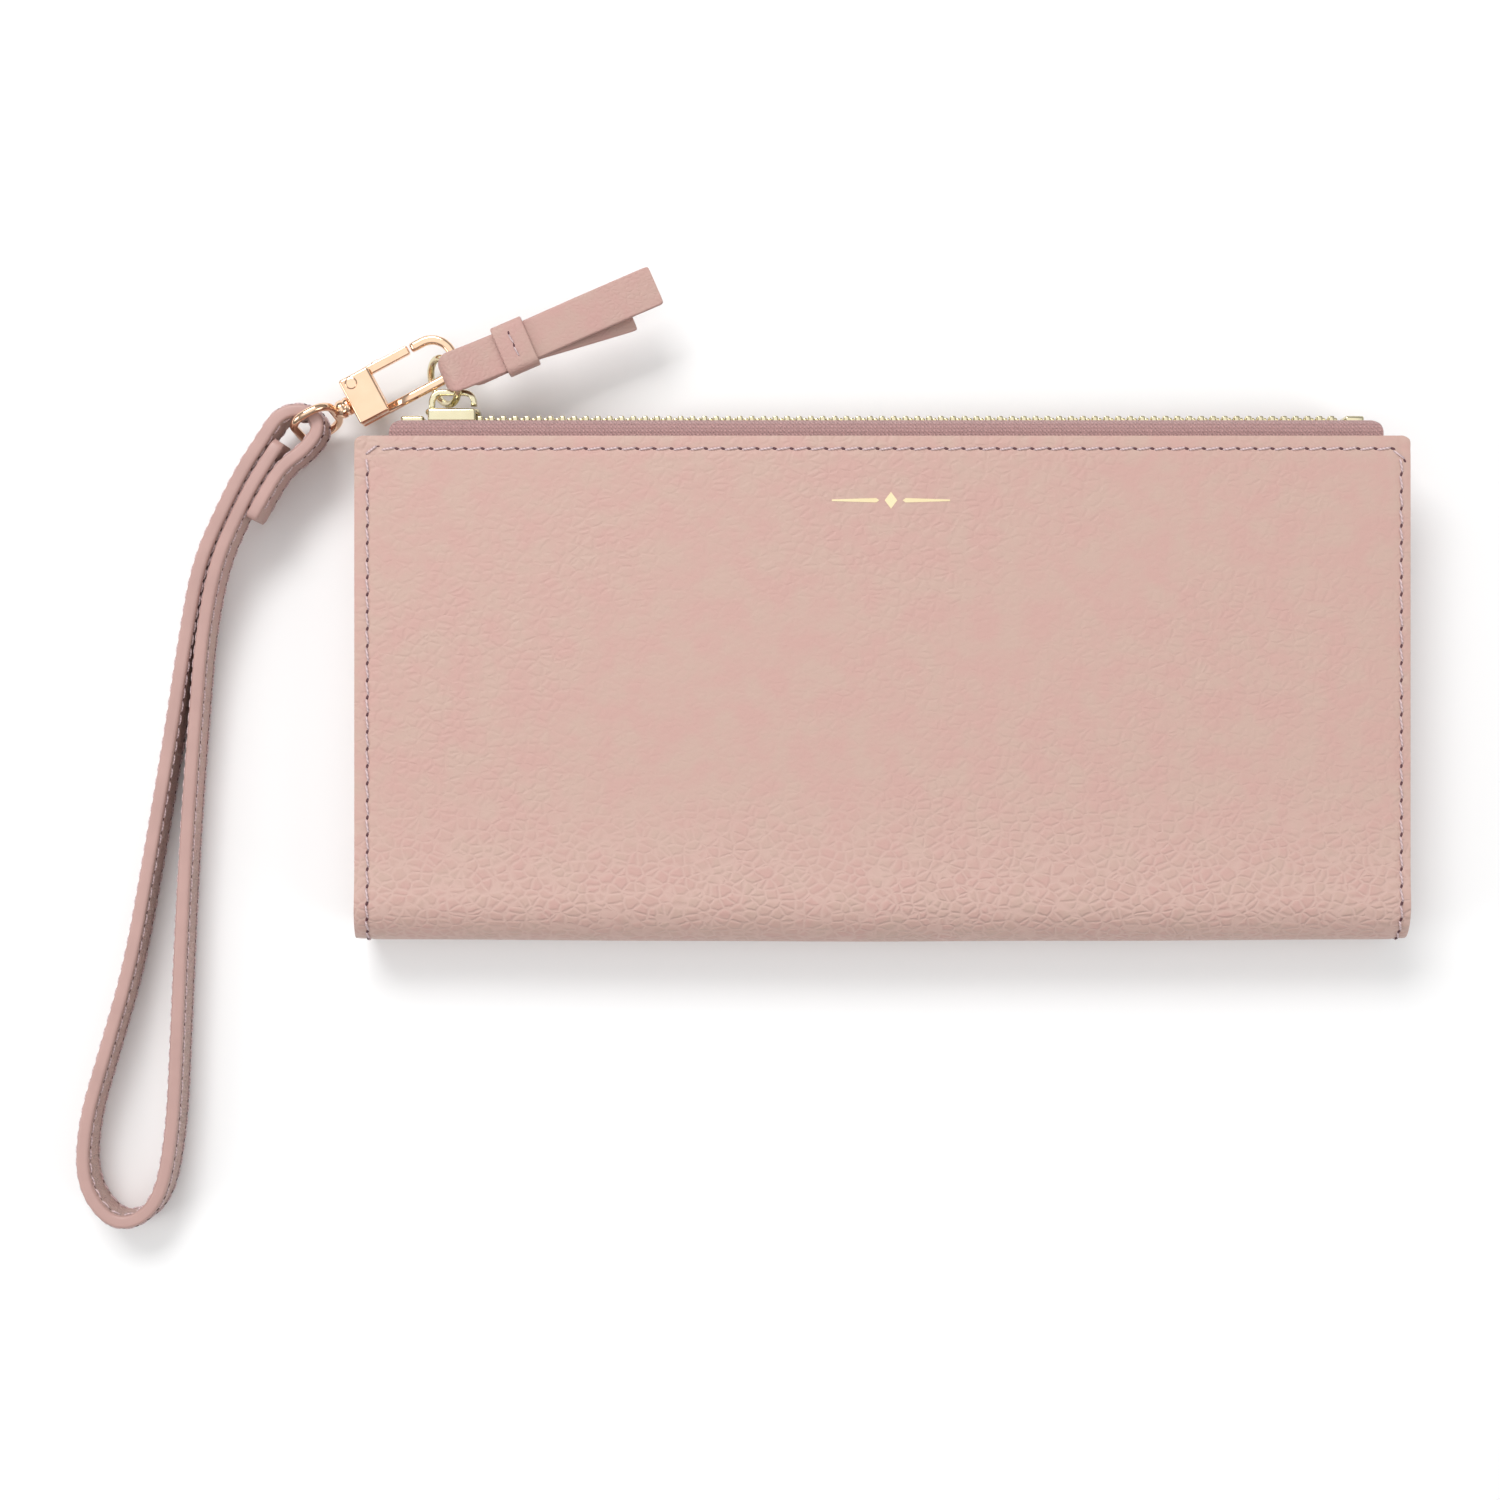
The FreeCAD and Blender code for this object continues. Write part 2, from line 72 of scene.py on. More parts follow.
# ---- the wrist strap ----
STRAP_WIDTH = 8.6 * MM
STRAP_THICK = 2.4 * MM
STRAP_HIGH = 8.5
STRAP_LOW = 4.6
STRAP_SLOPE = (40.0, -5.0)
STRAP_ROUTE = [
    (-120.6, 32.7), (-118.0, 37.5), (-114.6, 42.9), (-110.3, 46.0), (-107.3, 50.0),
    (-109.2, 53.6), (-115.0, 53.2), (-118.6, 47.6), (-121.9, 42.6), (-125.6, 35.4),
    (-130.8, 24.5), (-133.9, 9.5), (-137.0, -9.6), (-141.0, -33.0), (-144.6, -53.0),
    (-149.5, -70.0), (-153.6, -84.0), (-153.9, -96.0), (-147.4, -103.9), (-139.3, -100.0),
    (-136.5, -86.0), (-135.6, -66.0), (-134.7, -45.0), (-133.4, -22.0), (-131.9, -3.0),
    (-130.6, 10.5), (-127.6, 24.5), (-122.6, 35.0), (-119.1, 41.5), (-115.1, 47.5),
]


# ======== camera, light and floor ========
def camera_and_light():
    scene = bpy.context.scene
    scene.view_settings.view_transform = "Standard"
    data = bpy.data.cameras.new("camera")
    data.sensor_width = SENSOR
    data.lens = SENSOR * CAMERA_HEIGHT / VIEW_WIDTH
    data.clip_start = 0.01
    camera = bpy.data.objects.new("camera", data)
    camera.location = (CAMERA_X, CAMERA_Y, DEPTH + CAMERA_HEIGHT)
    scene.collection.objects.link(camera)
    scene.camera = camera

    def area(name, place, target, size, power):
        lamp = bpy.data.lights.new(name, "AREA")
        lamp.shape = "RECTANGLE"
        lamp.size, lamp.size_y = size
        lamp.energy = power
        lamp.normalize = True
        light = bpy.data.objects.new(name, lamp)
        light.location = place
        light.rotation_euler = (V(target) - V(place)).to_track_quat("-Z", "Y").to_euler()
        scene.collection.objects.link(light)

    area("key", (-0.35, 0.75, 0.85), (0, 0, 0), (0.7, 0.4), 8.5)
    area("fill", (0.85, -0.35, 0.7), (0, 0, 0), (0.6, 0.6), 3.0)
    area("side", (-0.9, -0.2, 0.5), (-0.05, 0, 0), (0.5, 0.5), 2.2)

    world = bpy.data.worlds.new("studio")
    world.use_nodes = True
    nodes = world.node_tree.nodes
    links = world.node_tree.links
    background = nodes["Background"]
    background.inputs["Strength"].default_value = 1.0
    coords = nodes.new("ShaderNodeTexCoord")
    split = nodes.new("ShaderNodeSeparateXYZ")
    ramp = nodes.new("ShaderNodeValToRGB")
    stops = ramp.color_ramp.elements
    for position, level in ((0.0, 0.10), (0.35, 0.34), (0.80, 0.42), (0.93, 1.25)):
        stop = stops.new(position)
        stop.color = (level, level, level, 1)
    stops.remove(stops[-1])
    stops.remove(stops[0])
    links.new(coords.outputs["Generated"], split.inputs[0])
    links.new(split.outputs["Z"], ramp.inputs["Fac"])
    seen = nodes.new("ShaderNodeLightPath")
    backdrop = nodes.new("ShaderNodeMix")
    backdrop.data_type = "RGBA"
    backdrop.inputs[7].default_value = (0.52, 0.52, 0.52, 1)
    links.new(seen.outputs["Is Camera Ray"], backdrop.inputs[0])
    links.new(ramp.outputs["Color"], backdrop.inputs[6])
    links.new(backdrop.outputs[2], background.inputs["Color"])
    scene.world = world

    bpy.ops.mesh.primitive_grid_add(x_subdivisions=2, y_subdivisions=2, size=24)
    floor = bpy.context.active_object
    floor.name = "floor"
    floor.location.z = -0.05 * MM
    paint = Material("floor_paper")
    paint.shader.inputs["Base Color"].default_value = (0.90, 0.90, 0.90, 1)
    paint.shader.inputs["Roughness"].default_value = 0.9
    floor.data.materials.append(paint.material)


# ======== materials ========
class Material:
    """A material with its node tree at hand."""

    def __init__(self, name):
        self.material = bpy.data.materials.new(name)
        self.material.use_nodes = True
        self.tree = self.material.node_tree
        self.shader = self.tree.nodes["Principled BSDF"]

    def add(self, kind, **values):
        node = self.tree.nodes.new(kind)
        for key, value in values.items():
            setattr(node, key, value)
        return node

    def link(self, out, into):
        self.tree.links.new(out, into)

    def object_coords(self):
        return self.add("ShaderNodeTexCoord").outputs["Object"]

    def math(self, operation, a, b):
        node = self.add("ShaderNodeMath", operation=operation)
        for socket, value in zip(node.inputs, (a, b)):
            if isinstance(value, (int, float)):
                socket.default_value = value
            else:
                self.link(value, socket)
        return node.outputs[0]

    def noise(self, coords, scale, detail=2.0):
        node = self.add("ShaderNodeTexNoise")
        node.inputs["Scale"].default_value = scale
        node.inputs["Detail"].default_value = detail
        self.link(coords, node.inputs["Vector"])
        return node

    def map_range(self, value, low, high, to_low=0.0, to_high=1.0, kind="LINEAR"):
        """The value carried from low..high to to_low..to_high, and held at both ends."""
        node = self.add("ShaderNodeMapRange", interpolation_type=kind)
        numbers = {"From Min": low, "From Max": high, "To Min": to_low, "To Max": to_high}
        for socket, number in numbers.items():
            node.inputs[socket].default_value = number
        self.link(value, node.inputs["Value"])
        return node.outputs["Result"]

    def ramp(self, value, low, high, groove_shade_colour, light):
        node = self.add("ShaderNodeValToRGB")
        node.color_ramp.elements[0].position = low
        node.color_ramp.elements[1].position = high
        node.color_ramp.elements[0].color = groove_shade_colour
        node.color_ramp.elements[1].color = light
        self.link(value, node.inputs["Fac"])
        return node.outputs["Color"]

    def mix(self, factor, a, b):
        node = self.add("ShaderNodeMix", data_type="RGBA")
        for socket, value in ((node.inputs[0], factor), (node.inputs[6], a), (node.inputs[7], b)):
            if isinstance(value, (int, float, tuple)):
                socket.default_value = value
            else:
                self.link(value, socket)
        return node.outputs[2]

    def bump(self, height, strength, distance):
        node = self.add("ShaderNodeBump")
        node.inputs["Strength"].default_value = strength
        node.inputs["Distance"].default_value = distance
        self.link(height, node.inputs["Height"])
        return node.outputs["Normal"]


FINE_GRAIN = 0.30 * MM
GRAIN_PATCH = 34 * MM
STRONG_GRAIN = (-12 * MM, -46 * MM)   # the grain grows between these heights, towards the fold


def leather(name, color, cell=1.9 * MM, depth=0.10 * MM, low_grain=0.35):
    """Pebbled leather: uneven flat cells between creases, wider than tall, over a fine grain. The
    cells are deeper in patches and near the bottom fold, where the creases also get a painted
    highlight, a paler colour."""
    m = Material(name)
    coords = m.object_coords()
    squat = m.add("ShaderNodeVectorMath", operation="MULTIPLY")
    squat.inputs[1].default_value = (1.0, 1.32, 1.32)
    m.link(coords, squat.inputs[0])
    wander = m.noise(coords, 1 / (1.7 * cell), 2.0)
    push = m.add("ShaderNodeVectorMath", operation="MULTIPLY_ADD")
    m.link(wander.outputs["Color"], push.inputs[0])
    push.inputs[1].default_value = (cell * 0.6,) * 3
    m.link(squat.outputs[0], push.inputs[2])
    cells = m.add("ShaderNodeTexVoronoi", feature="DISTANCE_TO_EDGE")
    cells.inputs["Scale"].default_value = 1 / cell
    m.link(push.outputs[0], cells.inputs["Vector"])
    pebble = m.map_range(cells.outputs["Distance"], -0.03, 0.30, kind="SMOOTHERSTEP")

    split = m.add("ShaderNodeSeparateXYZ")
    m.link(coords, split.inputs[0])
    near_fold = m.map_range(split.outputs["Y"], *STRONG_GRAIN, kind="SMOOTHSTEP")
    patches = m.noise(coords, 1 / GRAIN_PATCH, 1.0)
    patch = m.map_range(patches.outputs["Fac"], 0.38, 0.62, low_grain * 0.4, low_grain * 1.3)
    amount = m.math("ADD", patch, m.math("MULTIPLY", near_fold, 0.45))
    fine = m.noise(coords, 1 / FINE_GRAIN, 2.0)
    middling = m.noise(squat.outputs[0], 1 / (0.42 * cell), 2.0)
    grain = m.math("ADD", m.math("MULTIPLY", fine.outputs["Fac"], 0.16),
                   m.math("MULTIPLY", middling.outputs["Fac"], 0.32))
    height = m.math("ADD", m.math("MULTIPLY", pebble, amount), grain)
    m.link(m.bump(height, 1.0, depth), m.shader.inputs["Normal"])

    # painted highlight: near the fold the creases are coloured paler, as if catching the light
    crease_highlight_mask = m.math("POWER", m.math("SUBTRACT", 1.0, pebble), 2.0)
    crease_highlight_mask = m.math("MULTIPLY", crease_highlight_mask, near_fold)
    crease_highlight_colour = (color[0] * 1.08, color[1] * 1.12, color[2] * 1.12, 1)
    warm = (color[0] * 0.985, color[1] * 1.03, color[2] * 1.00, 1)
    rosy = (color[0] * 1.01, color[1] * 0.955, color[2] * 0.965, 1)
    clouds = m.noise(coords, 1 / (5.5 * MM), 4.0)
    tone = m.ramp(clouds.outputs["Fac"], 0.36, 0.64, warm, rosy)
    m.link(m.mix(crease_highlight_mask, tone, crease_highlight_colour), m.shader.inputs["Base Color"])
    m.link(m.map_range(fine.outputs["Fac"], 0.0, 1.0, 0.44, 0.60), m.shader.inputs["Roughness"])
    m.shader.inputs["Specular IOR Level"].default_value = 0.36
    m.shader.inputs["Sheen Weight"].default_value = 0.06
    m.shader.inputs["Sheen Roughness"].default_value = 0.5
    return m.material


def edge_paint(name, color):
    """Smooth painted leather edge with a slightly uneven surface."""
    m = Material(name)
    coords = m.object_coords()
    slow = m.noise(coords, 1 / (6 * MM), 2.0)
    fine = m.noise(coords, 1 / (0.9 * MM), 2.0)
    deep = tuple(c * 0.92 for c in color[:3]) + (1,)
    m.link(m.ramp(slow.outputs["Fac"], 0.3, 0.7, deep, color), m.shader.inputs["Base Color"])
    m.link(m.bump(fine.outputs["Fac"], 0.25, 0.05 * MM), m.shader.inputs["Normal"])
    rough = m.ramp(fine.outputs["Fac"], 0.3, 0.7, (0.38, 0.38, 0.38, 1), (0.5, 0.5, 0.5, 1))
    m.link(rough, m.shader.inputs["Roughness"])
    return m.material


def woven(name, color, pitch=0.55 * MM, depth=0.10 * MM):
    """Woven cloth: two crossed thread waves, with painted shade between the threads, painted highlight
    on their tops, and random thread-to-thread speckle.
    """
    m = Material(name)
    coords = m.object_coords()
    heights = []
    for direction in ("X", "Y"):
        wave = m.add("ShaderNodeTexWave", bands_direction=direction, wave_profile="SIN")
        wave.inputs["Scale"].default_value = 0.314 / pitch
        wave.inputs["Distortion"].default_value = 1.2
        wave.inputs["Detail Scale"].default_value = 0.8 / MM
        m.link(coords, wave.inputs["Vector"])
        heights.append(wave.outputs["Fac"])
    weave = m.math("MULTIPLY", heights[0], heights[1])
    speckle = m.noise(coords, 1 / (0.5 * MM), 3.0)
    height = m.math("ADD", weave, m.math("MULTIPLY", speckle.outputs["Fac"], 0.5))
    m.link(m.bump(height, 0.9, depth), m.shader.inputs["Normal"])
    # painted shade in the weave's hollows and painted highlight on the thread tops, mixed with random
    # speckle
    groove_shade_colour = tuple(c * 0.68 for c in color[:3]) + (1,)
    light = tuple(min(1, c * 1.18) for c in color[:3]) + (1,)
    m.link(m.ramp(height, 0.1, 0.9, groove_shade_colour, light), m.shader.inputs["Base Color"])
    m.shader.inputs["Roughness"].default_value = 0.85
    m.shader.inputs["Sheen Weight"].default_value = 0.25
    return m.material


def metal(name, color, roughness):
    """Polished plated metal: faint polishing marks and a little tarnish in patches."""
    m = Material(name)
    coords = m.object_coords()
    marks = m.noise(coords, 1 / (0.35 * MM), 3.0)
    patches = m.noise(coords, 1 / (4 * MM), 2.0)
    deep = (color[0] * 0.95, color[1] * 0.93, color[2] * 0.90, 1)
    m.link(m.ramp(patches.outputs["Fac"], 0.35, 0.7, deep, color), m.shader.inputs["Base Color"])
    rough = m.map_range(marks.outputs["Fac"], 0.0, 1.0, roughness * 0.7, roughness * 1.5)
    m.link(rough, m.shader.inputs["Roughness"])
    m.link(m.bump(marks.outputs["Fac"], 0.03, 0.02 * MM), m.shader.inputs["Normal"])
    m.shader.inputs["Metallic"].default_value = 1.0
    return m.material


def thread(name, color):
    """Twisted sewing thread, with painted shade in the grooves of its twist."""
    m = Material(name)
    coords = m.object_coords()
    twist = m.add("ShaderNodeTexWave", bands_direction="DIAGONAL")
    twist.inputs["Scale"].default_value = 0.8 / MM
    m.link(coords, twist.inputs["Vector"])
    # painted shade: the grooves of the twist are coloured darker
    groove_shade_colour = tuple(c * 0.7 for c in color[:3]) + (1,)
    m.link(m.ramp(twist.outputs["Fac"], 0.2, 0.8, groove_shade_colour, color), m.shader.inputs["Base Color"])
    m.link(m.bump(twist.outputs["Fac"], 0.6, 0.04 * MM), m.shader.inputs["Normal"])
    m.shader.inputs["Roughness"].default_value = 0.6
    return m.material


PINK = (0.550, 0.361, 0.315, 1)
ROSE = (0.500, 0.315, 0.278, 1)
WALLET = leather("wallet_leather", PINK, cell=2.3 * MM, depth=0.17 * MM)
PULL = leather("pull_leather", ROSE, cell=1.2 * MM, depth=0.12 * MM)
STRAP = leather("strap_leather", (0.53, 0.355, 0.315, 1), cell=1.1 * MM, depth=0.22 * MM,
                low_grain=0.6)
EDGE = edge_paint("edge_paint", (0.50, 0.312, 0.280, 1))
LINING = woven("lining_cloth", (0.50, 0.33, 0.30, 1), pitch=0.4 * MM)
TAPE = woven("zip_tape", (0.53, 0.315, 0.305, 1), pitch=0.75 * MM, depth=0.2 * MM)
PALE_GOLD = metal("pale_gold", (0.75, 0.69, 0.48, 1), 0.14)
ROSE_GOLD = metal("rose_gold", (0.93, 0.64, 0.45, 1), 0.08)
FOIL = metal("gold_foil", (0.84, 0.72, 0.46, 1), 0.28)
THREAD = thread("pink_thread", (0.70, 0.53, 0.54, 1))
# painted shade: a near-black thread colour for the shade inside the needle holes
HOLE_SHADE = thread("thread_in_shadow", (0.105, 0.035, 0.045, 1))


# ======== mesh helpers ========
def add_piece(name, mesh, body, *materials, stands_for=(), slot=None, smooth=True):
    piece = bpy.data.objects.new(name, mesh)
    bpy.context.scene.collection.objects.link(piece)
    for material in materials:
        mesh.materials.append(material)
    if smooth:
        for face in mesh.polygons:
            face.use_smooth = True
    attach(piece, body)
    if stands_for:
        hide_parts(*stands_for)
    return piece


def mesh_from(name, vertices, faces):
    mesh = bpy.data.meshes.new(name)
    mesh.from_pydata([tuple(v) for v in vertices], [], faces)
    mesh.update()
    return mesh


def apply_modifiers(mesh, *modifiers):
    """The mesh with these modifiers on it, as a new mesh. Each is (kind, {setting: value})."""
    holder = bpy.data.objects.new("holder", mesh)
    bpy.context.scene.collection.objects.link(holder)
    for kind, settings in modifiers:
        modifier = holder.modifiers.new(kind, kind)
        for key, value in settings.items():
            setattr(modifier, key, value)
    depsgraph = bpy.context.evaluated_depsgraph_get()
    result = bpy.data.meshes.new_from_object(holder.evaluated_get(depsgraph), depsgraph=depsgraph)
    bpy.data.objects.remove(holder)
    result.materials.clear()
    return result


def grid_faces(rows, columns, close_rows=False, close_columns=False):
    faces = []
    for i in range(rows if close_rows else rows - 1):
        for j in range(columns if close_columns else columns - 1):
            a = i * columns + j
            b = i * columns + (j + 1) % columns
            c = ((i + 1) % rows) * columns + (j + 1) % columns
            d = ((i + 1) % rows) * columns + j
            faces.append((a, b, c, d))
    return faces


def cap_ends(faces, rows, columns):
    """Closes both ends of a tube whose sides are grid_faces."""
    faces.append(tuple(range(columns)))
    faces.append(tuple(reversed(range((rows - 1) * columns, rows * columns))))


def sweep(name, path, section, frame_at, cyclic=False):
    """A closed section pushed along a path. frame_at(i) gives its two axes at point i."""
    vertices = []
    count = len(section)
    for i, point in enumerate(path):
        across, up = frame_at(i)
        vertices += [point + across * a + up * b for a, b in section]
    faces = grid_faces(len(path), count, close_rows=cyclic, close_columns=True)
    if not cyclic:
        faces.append(tuple(reversed(range(count))))
        faces.append(tuple(range((len(path) - 1) * count, len(path) * count)))
    return mesh_from(name, vertices, faces)


def tangents(path, cyclic=False):
    last = len(path) - 1
    result = []
    for i in range(len(path)):
        before = path[i - 1] if i > 0 or cyclic else path[0]
        after = path[(i + 1) % len(path)] if i < last or cyclic else path[last]
        result.append((after - before).normalized())
    return result


def planar_frames(path, normal, cyclic=False):
    """Axes for a path that lies in one plane: across it in the plane, and along the normal."""
    along = tangents(path, cyclic)
    return lambda i: (along[i].cross(normal).normalized(), normal)


def round_section(radius, count=20):
    steps = [2 * math.pi * i / count for i in range(count)]
    return [(radius * math.cos(a), radius * math.sin(a)) for a in steps]


def soft_section(half_a, half_b, corner, steps=4):
    """A rectangle with rounded corners."""
    points = []
    for sign_a, sign_b, start in ((1, 1, 0), (-1, 1, 90), (-1, -1, 180), (1, -1, 270)):
        for i in range(steps + 1):
            angle = math.radians(start + 90 * i / steps)
            points.append((sign_a * (half_a - corner) + corner * math.cos(angle),
                           sign_b * (half_b - corner) + corner * math.sin(angle)))
    return points


def soft_box(name, centre, axes, halves, bevel, segments=4):
    """A box on its own axes with rounded edges."""
    vertices = []
    for sx in (-1, 1):
        for sy in (-1, 1):
            for sz in (-1, 1):
                offset = (axes[0] * (sx * halves[0]) + axes[1] * (sy * halves[1])
                          + axes[2] * (sz * halves[2]))
                vertices.append(centre + offset)
    faces = [(0, 1, 3, 2), (4, 6, 7, 5), (0, 4, 5, 1), (2, 3, 7, 6), (0, 2, 6, 4), (1, 5, 7, 3)]
    mesh = mesh_from(name, vertices, faces)
    rounding = {"width": bevel, "segments": segments, "limit_method": "NONE"}
    return apply_modifiers(mesh, ("BEVEL", rounding))


def lathe(name, start, axis, profile, count=40):
    """A profile of (distance along the axis, radius) turned about the axis."""
    side = axis.orthogonal().normalized()
    other = axis.cross(side)
    vertices = []
    for along, radius in profile:
        for i in range(count):
            angle = 2 * math.pi * i / count
            out = side * math.cos(angle) + other * math.sin(angle)
            vertices.append(start + axis * along + out * radius)
    faces = grid_faces(len(profile), count, close_columns=True)
    cap_ends(faces, len(profile), count)
    return mesh_from(name, vertices, faces)


def joined(name, meshes):
    """Several meshes as one."""
    result = bmesh.new()
    for mesh in meshes:
        result.from_mesh(mesh)
    bmesh.ops.recalc_face_normals(result, faces=result.faces)
    mesh = bpy.data.meshes.new(name)
    result.to_mesh(mesh)
    result.free()
    return mesh


def arc(centre, radius, start, end, axis_a, axis_b, count):
    points = []
    for i in range(count + 1):
        angle = math.radians(start + (end - start) * i / count)
        points.append(centre + (axis_a * math.cos(angle) + axis_b * math.sin(angle)) * radius)
    return points


# ======== stitching ========
def stitches(name, body, line, pitch, thread_radius, slant, slot):
    """Thread, and dark marks of painted shade in the needle holes, along a line of (point, direction,
    normal), one stitch to each.
    """
    threads = []
    hole_shades = []
    for point, along, normal in line:
        across = normal.cross(along).normalized()
        lean = (along + across * slant).normalized()
        reach = pitch * 0.38
        path = []
        for i in range(7):
            t = -1 + i / 3
            lift = thread_radius * (0.85 - 1.3 * t ** 4)
            path.append(point + lean * (reach * t) + normal * lift)
        threads.append(sweep(name, path, round_section(thread_radius, 8), planar_frames(path, across)))
        hole = point + along * (pitch / 2)
        hole_shades.append(needle_hole_shade(hole, along - across * (1.8 * slant), normal, pitch))
    add_piece(name, joined(name, threads), body, THREAD, slot=slot)
    add_piece(name + "_holes", joined(name + "_holes", hole_shades), body, HOLE_SHADE, slot=slot)


def needle_hole_shade(centre, lean, normal, pitch):
    """Painted shade in the needle hole between two stitches, where the thread goes down: a dark shallow
    lens that tapers.
    """
    lean = lean.normalized()
    side = normal.cross(lean)
    long_half = pitch * 0.175
    wide_half = pitch * 0.082
    count = 12
    vertices = []
    for scale, rise in ((1.0, -0.10 * MM), (0.96, 0.05 * MM), (0.5, 0.09 * MM)):
        for i in range(count):
            angle = 2 * math.pi * i / count
            a = lean * (math.cos(angle) * long_half)
            b = side * (math.sin(angle) * wide_half * abs(math.sin(angle)) ** 0.3)
            vertices.append(centre + (a + b) * scale + normal * rise)
    faces = grid_faces(3, count, close_columns=True)
    faces.append(tuple(range(2 * count, 3 * count)))
    faces.append(tuple(reversed(range(count))))
    return mesh_from("mark", vertices, faces)


def along_line(points, normals, pitch):
    """Evenly spaced (point, direction, normal) along a polyline with a normal at each point."""
    result = []
    carried = pitch / 2
    for i in range(len(points) - 1):
        run = points[i + 1] - points[i]
        length = run.length
        while carried <= length:
            t = carried / length
            normal = normals[i].lerp(normals[i + 1], t).normalized()
            result.append((points[i] + run * t, run.normalized(), normal))
            carried += pitch
        carried -= length
    return result


# ======== wallet body ========
def spread(low, high, edge_steps, middle_step):
    """Stations from low to high: close together near both ends, then evenly spaced."""
    left = [low + step for step in edge_steps]
    right = [high - step for step in reversed(edge_steps)]
    room = right[0] - left[-1]
    count = max(2, round(room / middle_step))
    return left + [left[-1] + room * i / count for i in range(1, count)] + right


STITCH_IN = 2.5 * MM              # from the left and top edges
STITCH_IN_RIGHT = 1.8 * MM
STITCH_CORNER = 1.6 * MM
STITCH_PITCH = 3.25 * MM
THREAD_RADIUS = 0.22 * MM
FOLD_FLARE = 1.0 * MM            # how much wider the leather is at the bend
FLARE_REACH = 19 * MM
EDGE_STEPS = [0, 0.5 * MM, 1.0 * MM, 1.6 * MM, 2.1 * MM, 2.5 * MM, 2.9 * MM, 3.5 * MM, 4.5 * MM,
              6 * MM, 8 * MM]


def groove(distance, line):
    """Depth of the dent that a row of stitches pulls into the leather."""
    return 0.16 * MM * math.exp(-((distance - line) / (0.55 * MM)) ** 2)


def shell_point(x, s, side_length):
    """A point on the wallet's outer surface and its normal. s runs from the front's top edge, round
    the fold, to the back's top edge."""
    fold_length = math.pi * FOLD_R
    if s < side_length:
        y = TOP_Y - s
        place, normal = V((x, y, DEPTH)), EZ
    elif s < side_length + fold_length:
        angle = (s - side_length) / FOLD_R
        normal = V((0, -math.sin(angle), math.cos(angle)))
        place = V((x, FOLD_Y, MID_Z)) + normal * FOLD_R
    else:
        y = FOLD_Y + (s - side_length - fold_length)
        place, normal = V((x, y, 0)), -EZ
    return place, normal


def softness(x, s, total):
    """How far the surface stands off its plain shape: stitch grooves, pinched edges, slight waves."""
    left = x + HALF_X
    right = HALF_X - x
    top = min(s, total - s)
    dent = groove(left, STITCH_IN) + groove(right, STITCH_IN_RIGHT) + groove(top, STITCH_IN)
    edge = min(left, right, top)
    pinch = 0.30 * MM * math.exp(-edge / (1.6 * MM))
    spot = V((x, s, 0.3)) / (38 * MM)
    wave = noise.noise(spot) * 0.22 * MM * min(1, edge / (14 * MM))
    crown = 0.55 * MM * math.cos(math.pi * x / (2 * HALF_X)) * math.sin(math.pi * s / total)
    front = s < total / 2
    return (wave + crown if front else -abs(wave) * 0.2 + 0.05 * MM) - dent - pinch


def flare(s, total):
    """The leather spreads sideways where it is bent round the bottom. 1 at the middle of the bend."""
    return max(0.0, 1 - abs(s - total / 2) / FLARE_REACH) ** 2


def wallet_shell():
    side_length = TOP_Y - FOLD_Y
    fold_length = math.pi * FOLD_R
    total = 2 * side_length + fold_length
    xs = spread(-HALF_X, HALF_X, EDGE_STEPS, 5 * MM)
    front = spread(0, side_length, EDGE_STEPS, 4 * MM)
    fold = [side_length + fold_length * i / 24 for i in range(1, 24)]
    ss = front + fold + [total - s for s in reversed(front)]
    corner = 1.3 * MM
    vertices = []
    for s in ss:
        top = min(s, total - s)
        inset = 0.0
        if top < corner:
            inset = corner - math.sqrt(corner ** 2 - (corner - top) ** 2)
        for x in xs:
            pull_in = inset * max(0.0, 1 - (HALF_X - abs(x)) / (4 * MM))
            spread_x = x * (1 + FOLD_FLARE / HALF_X * flare(s, total))
            place, normal = shell_point(spread_x - math.copysign(pull_in, x), s, side_length)
            vertices.append(place + normal * softness(x, s, total))
    outer = mesh_from("wallet_shell", vertices, grid_faces(len(ss), len(xs)))
    if outer.polygons[0].normal.z < 0:
        outer.flip_normals()
    rim = {"width": 0.5 * MM, "segments": 3, "limit_method": "ANGLE", "angle_limit": math.radians(60)}
    mesh = apply_modifiers(
        outer,
        ("SOLIDIFY", {"thickness": PANEL - 0.1 * MM, "offset": -1.0, "material_offset_rim": 1}),
        ("BEVEL", rim),
        ("SUBSURF", {"levels": 1}),
    )
    add_piece("wallet_shell", mesh, "pouch", WALLET, EDGE, slot="wallet_leather",
              stands_for=("front_panel", "bottom_fold", "back_panel"))
    shell_stitching(side_length, total)


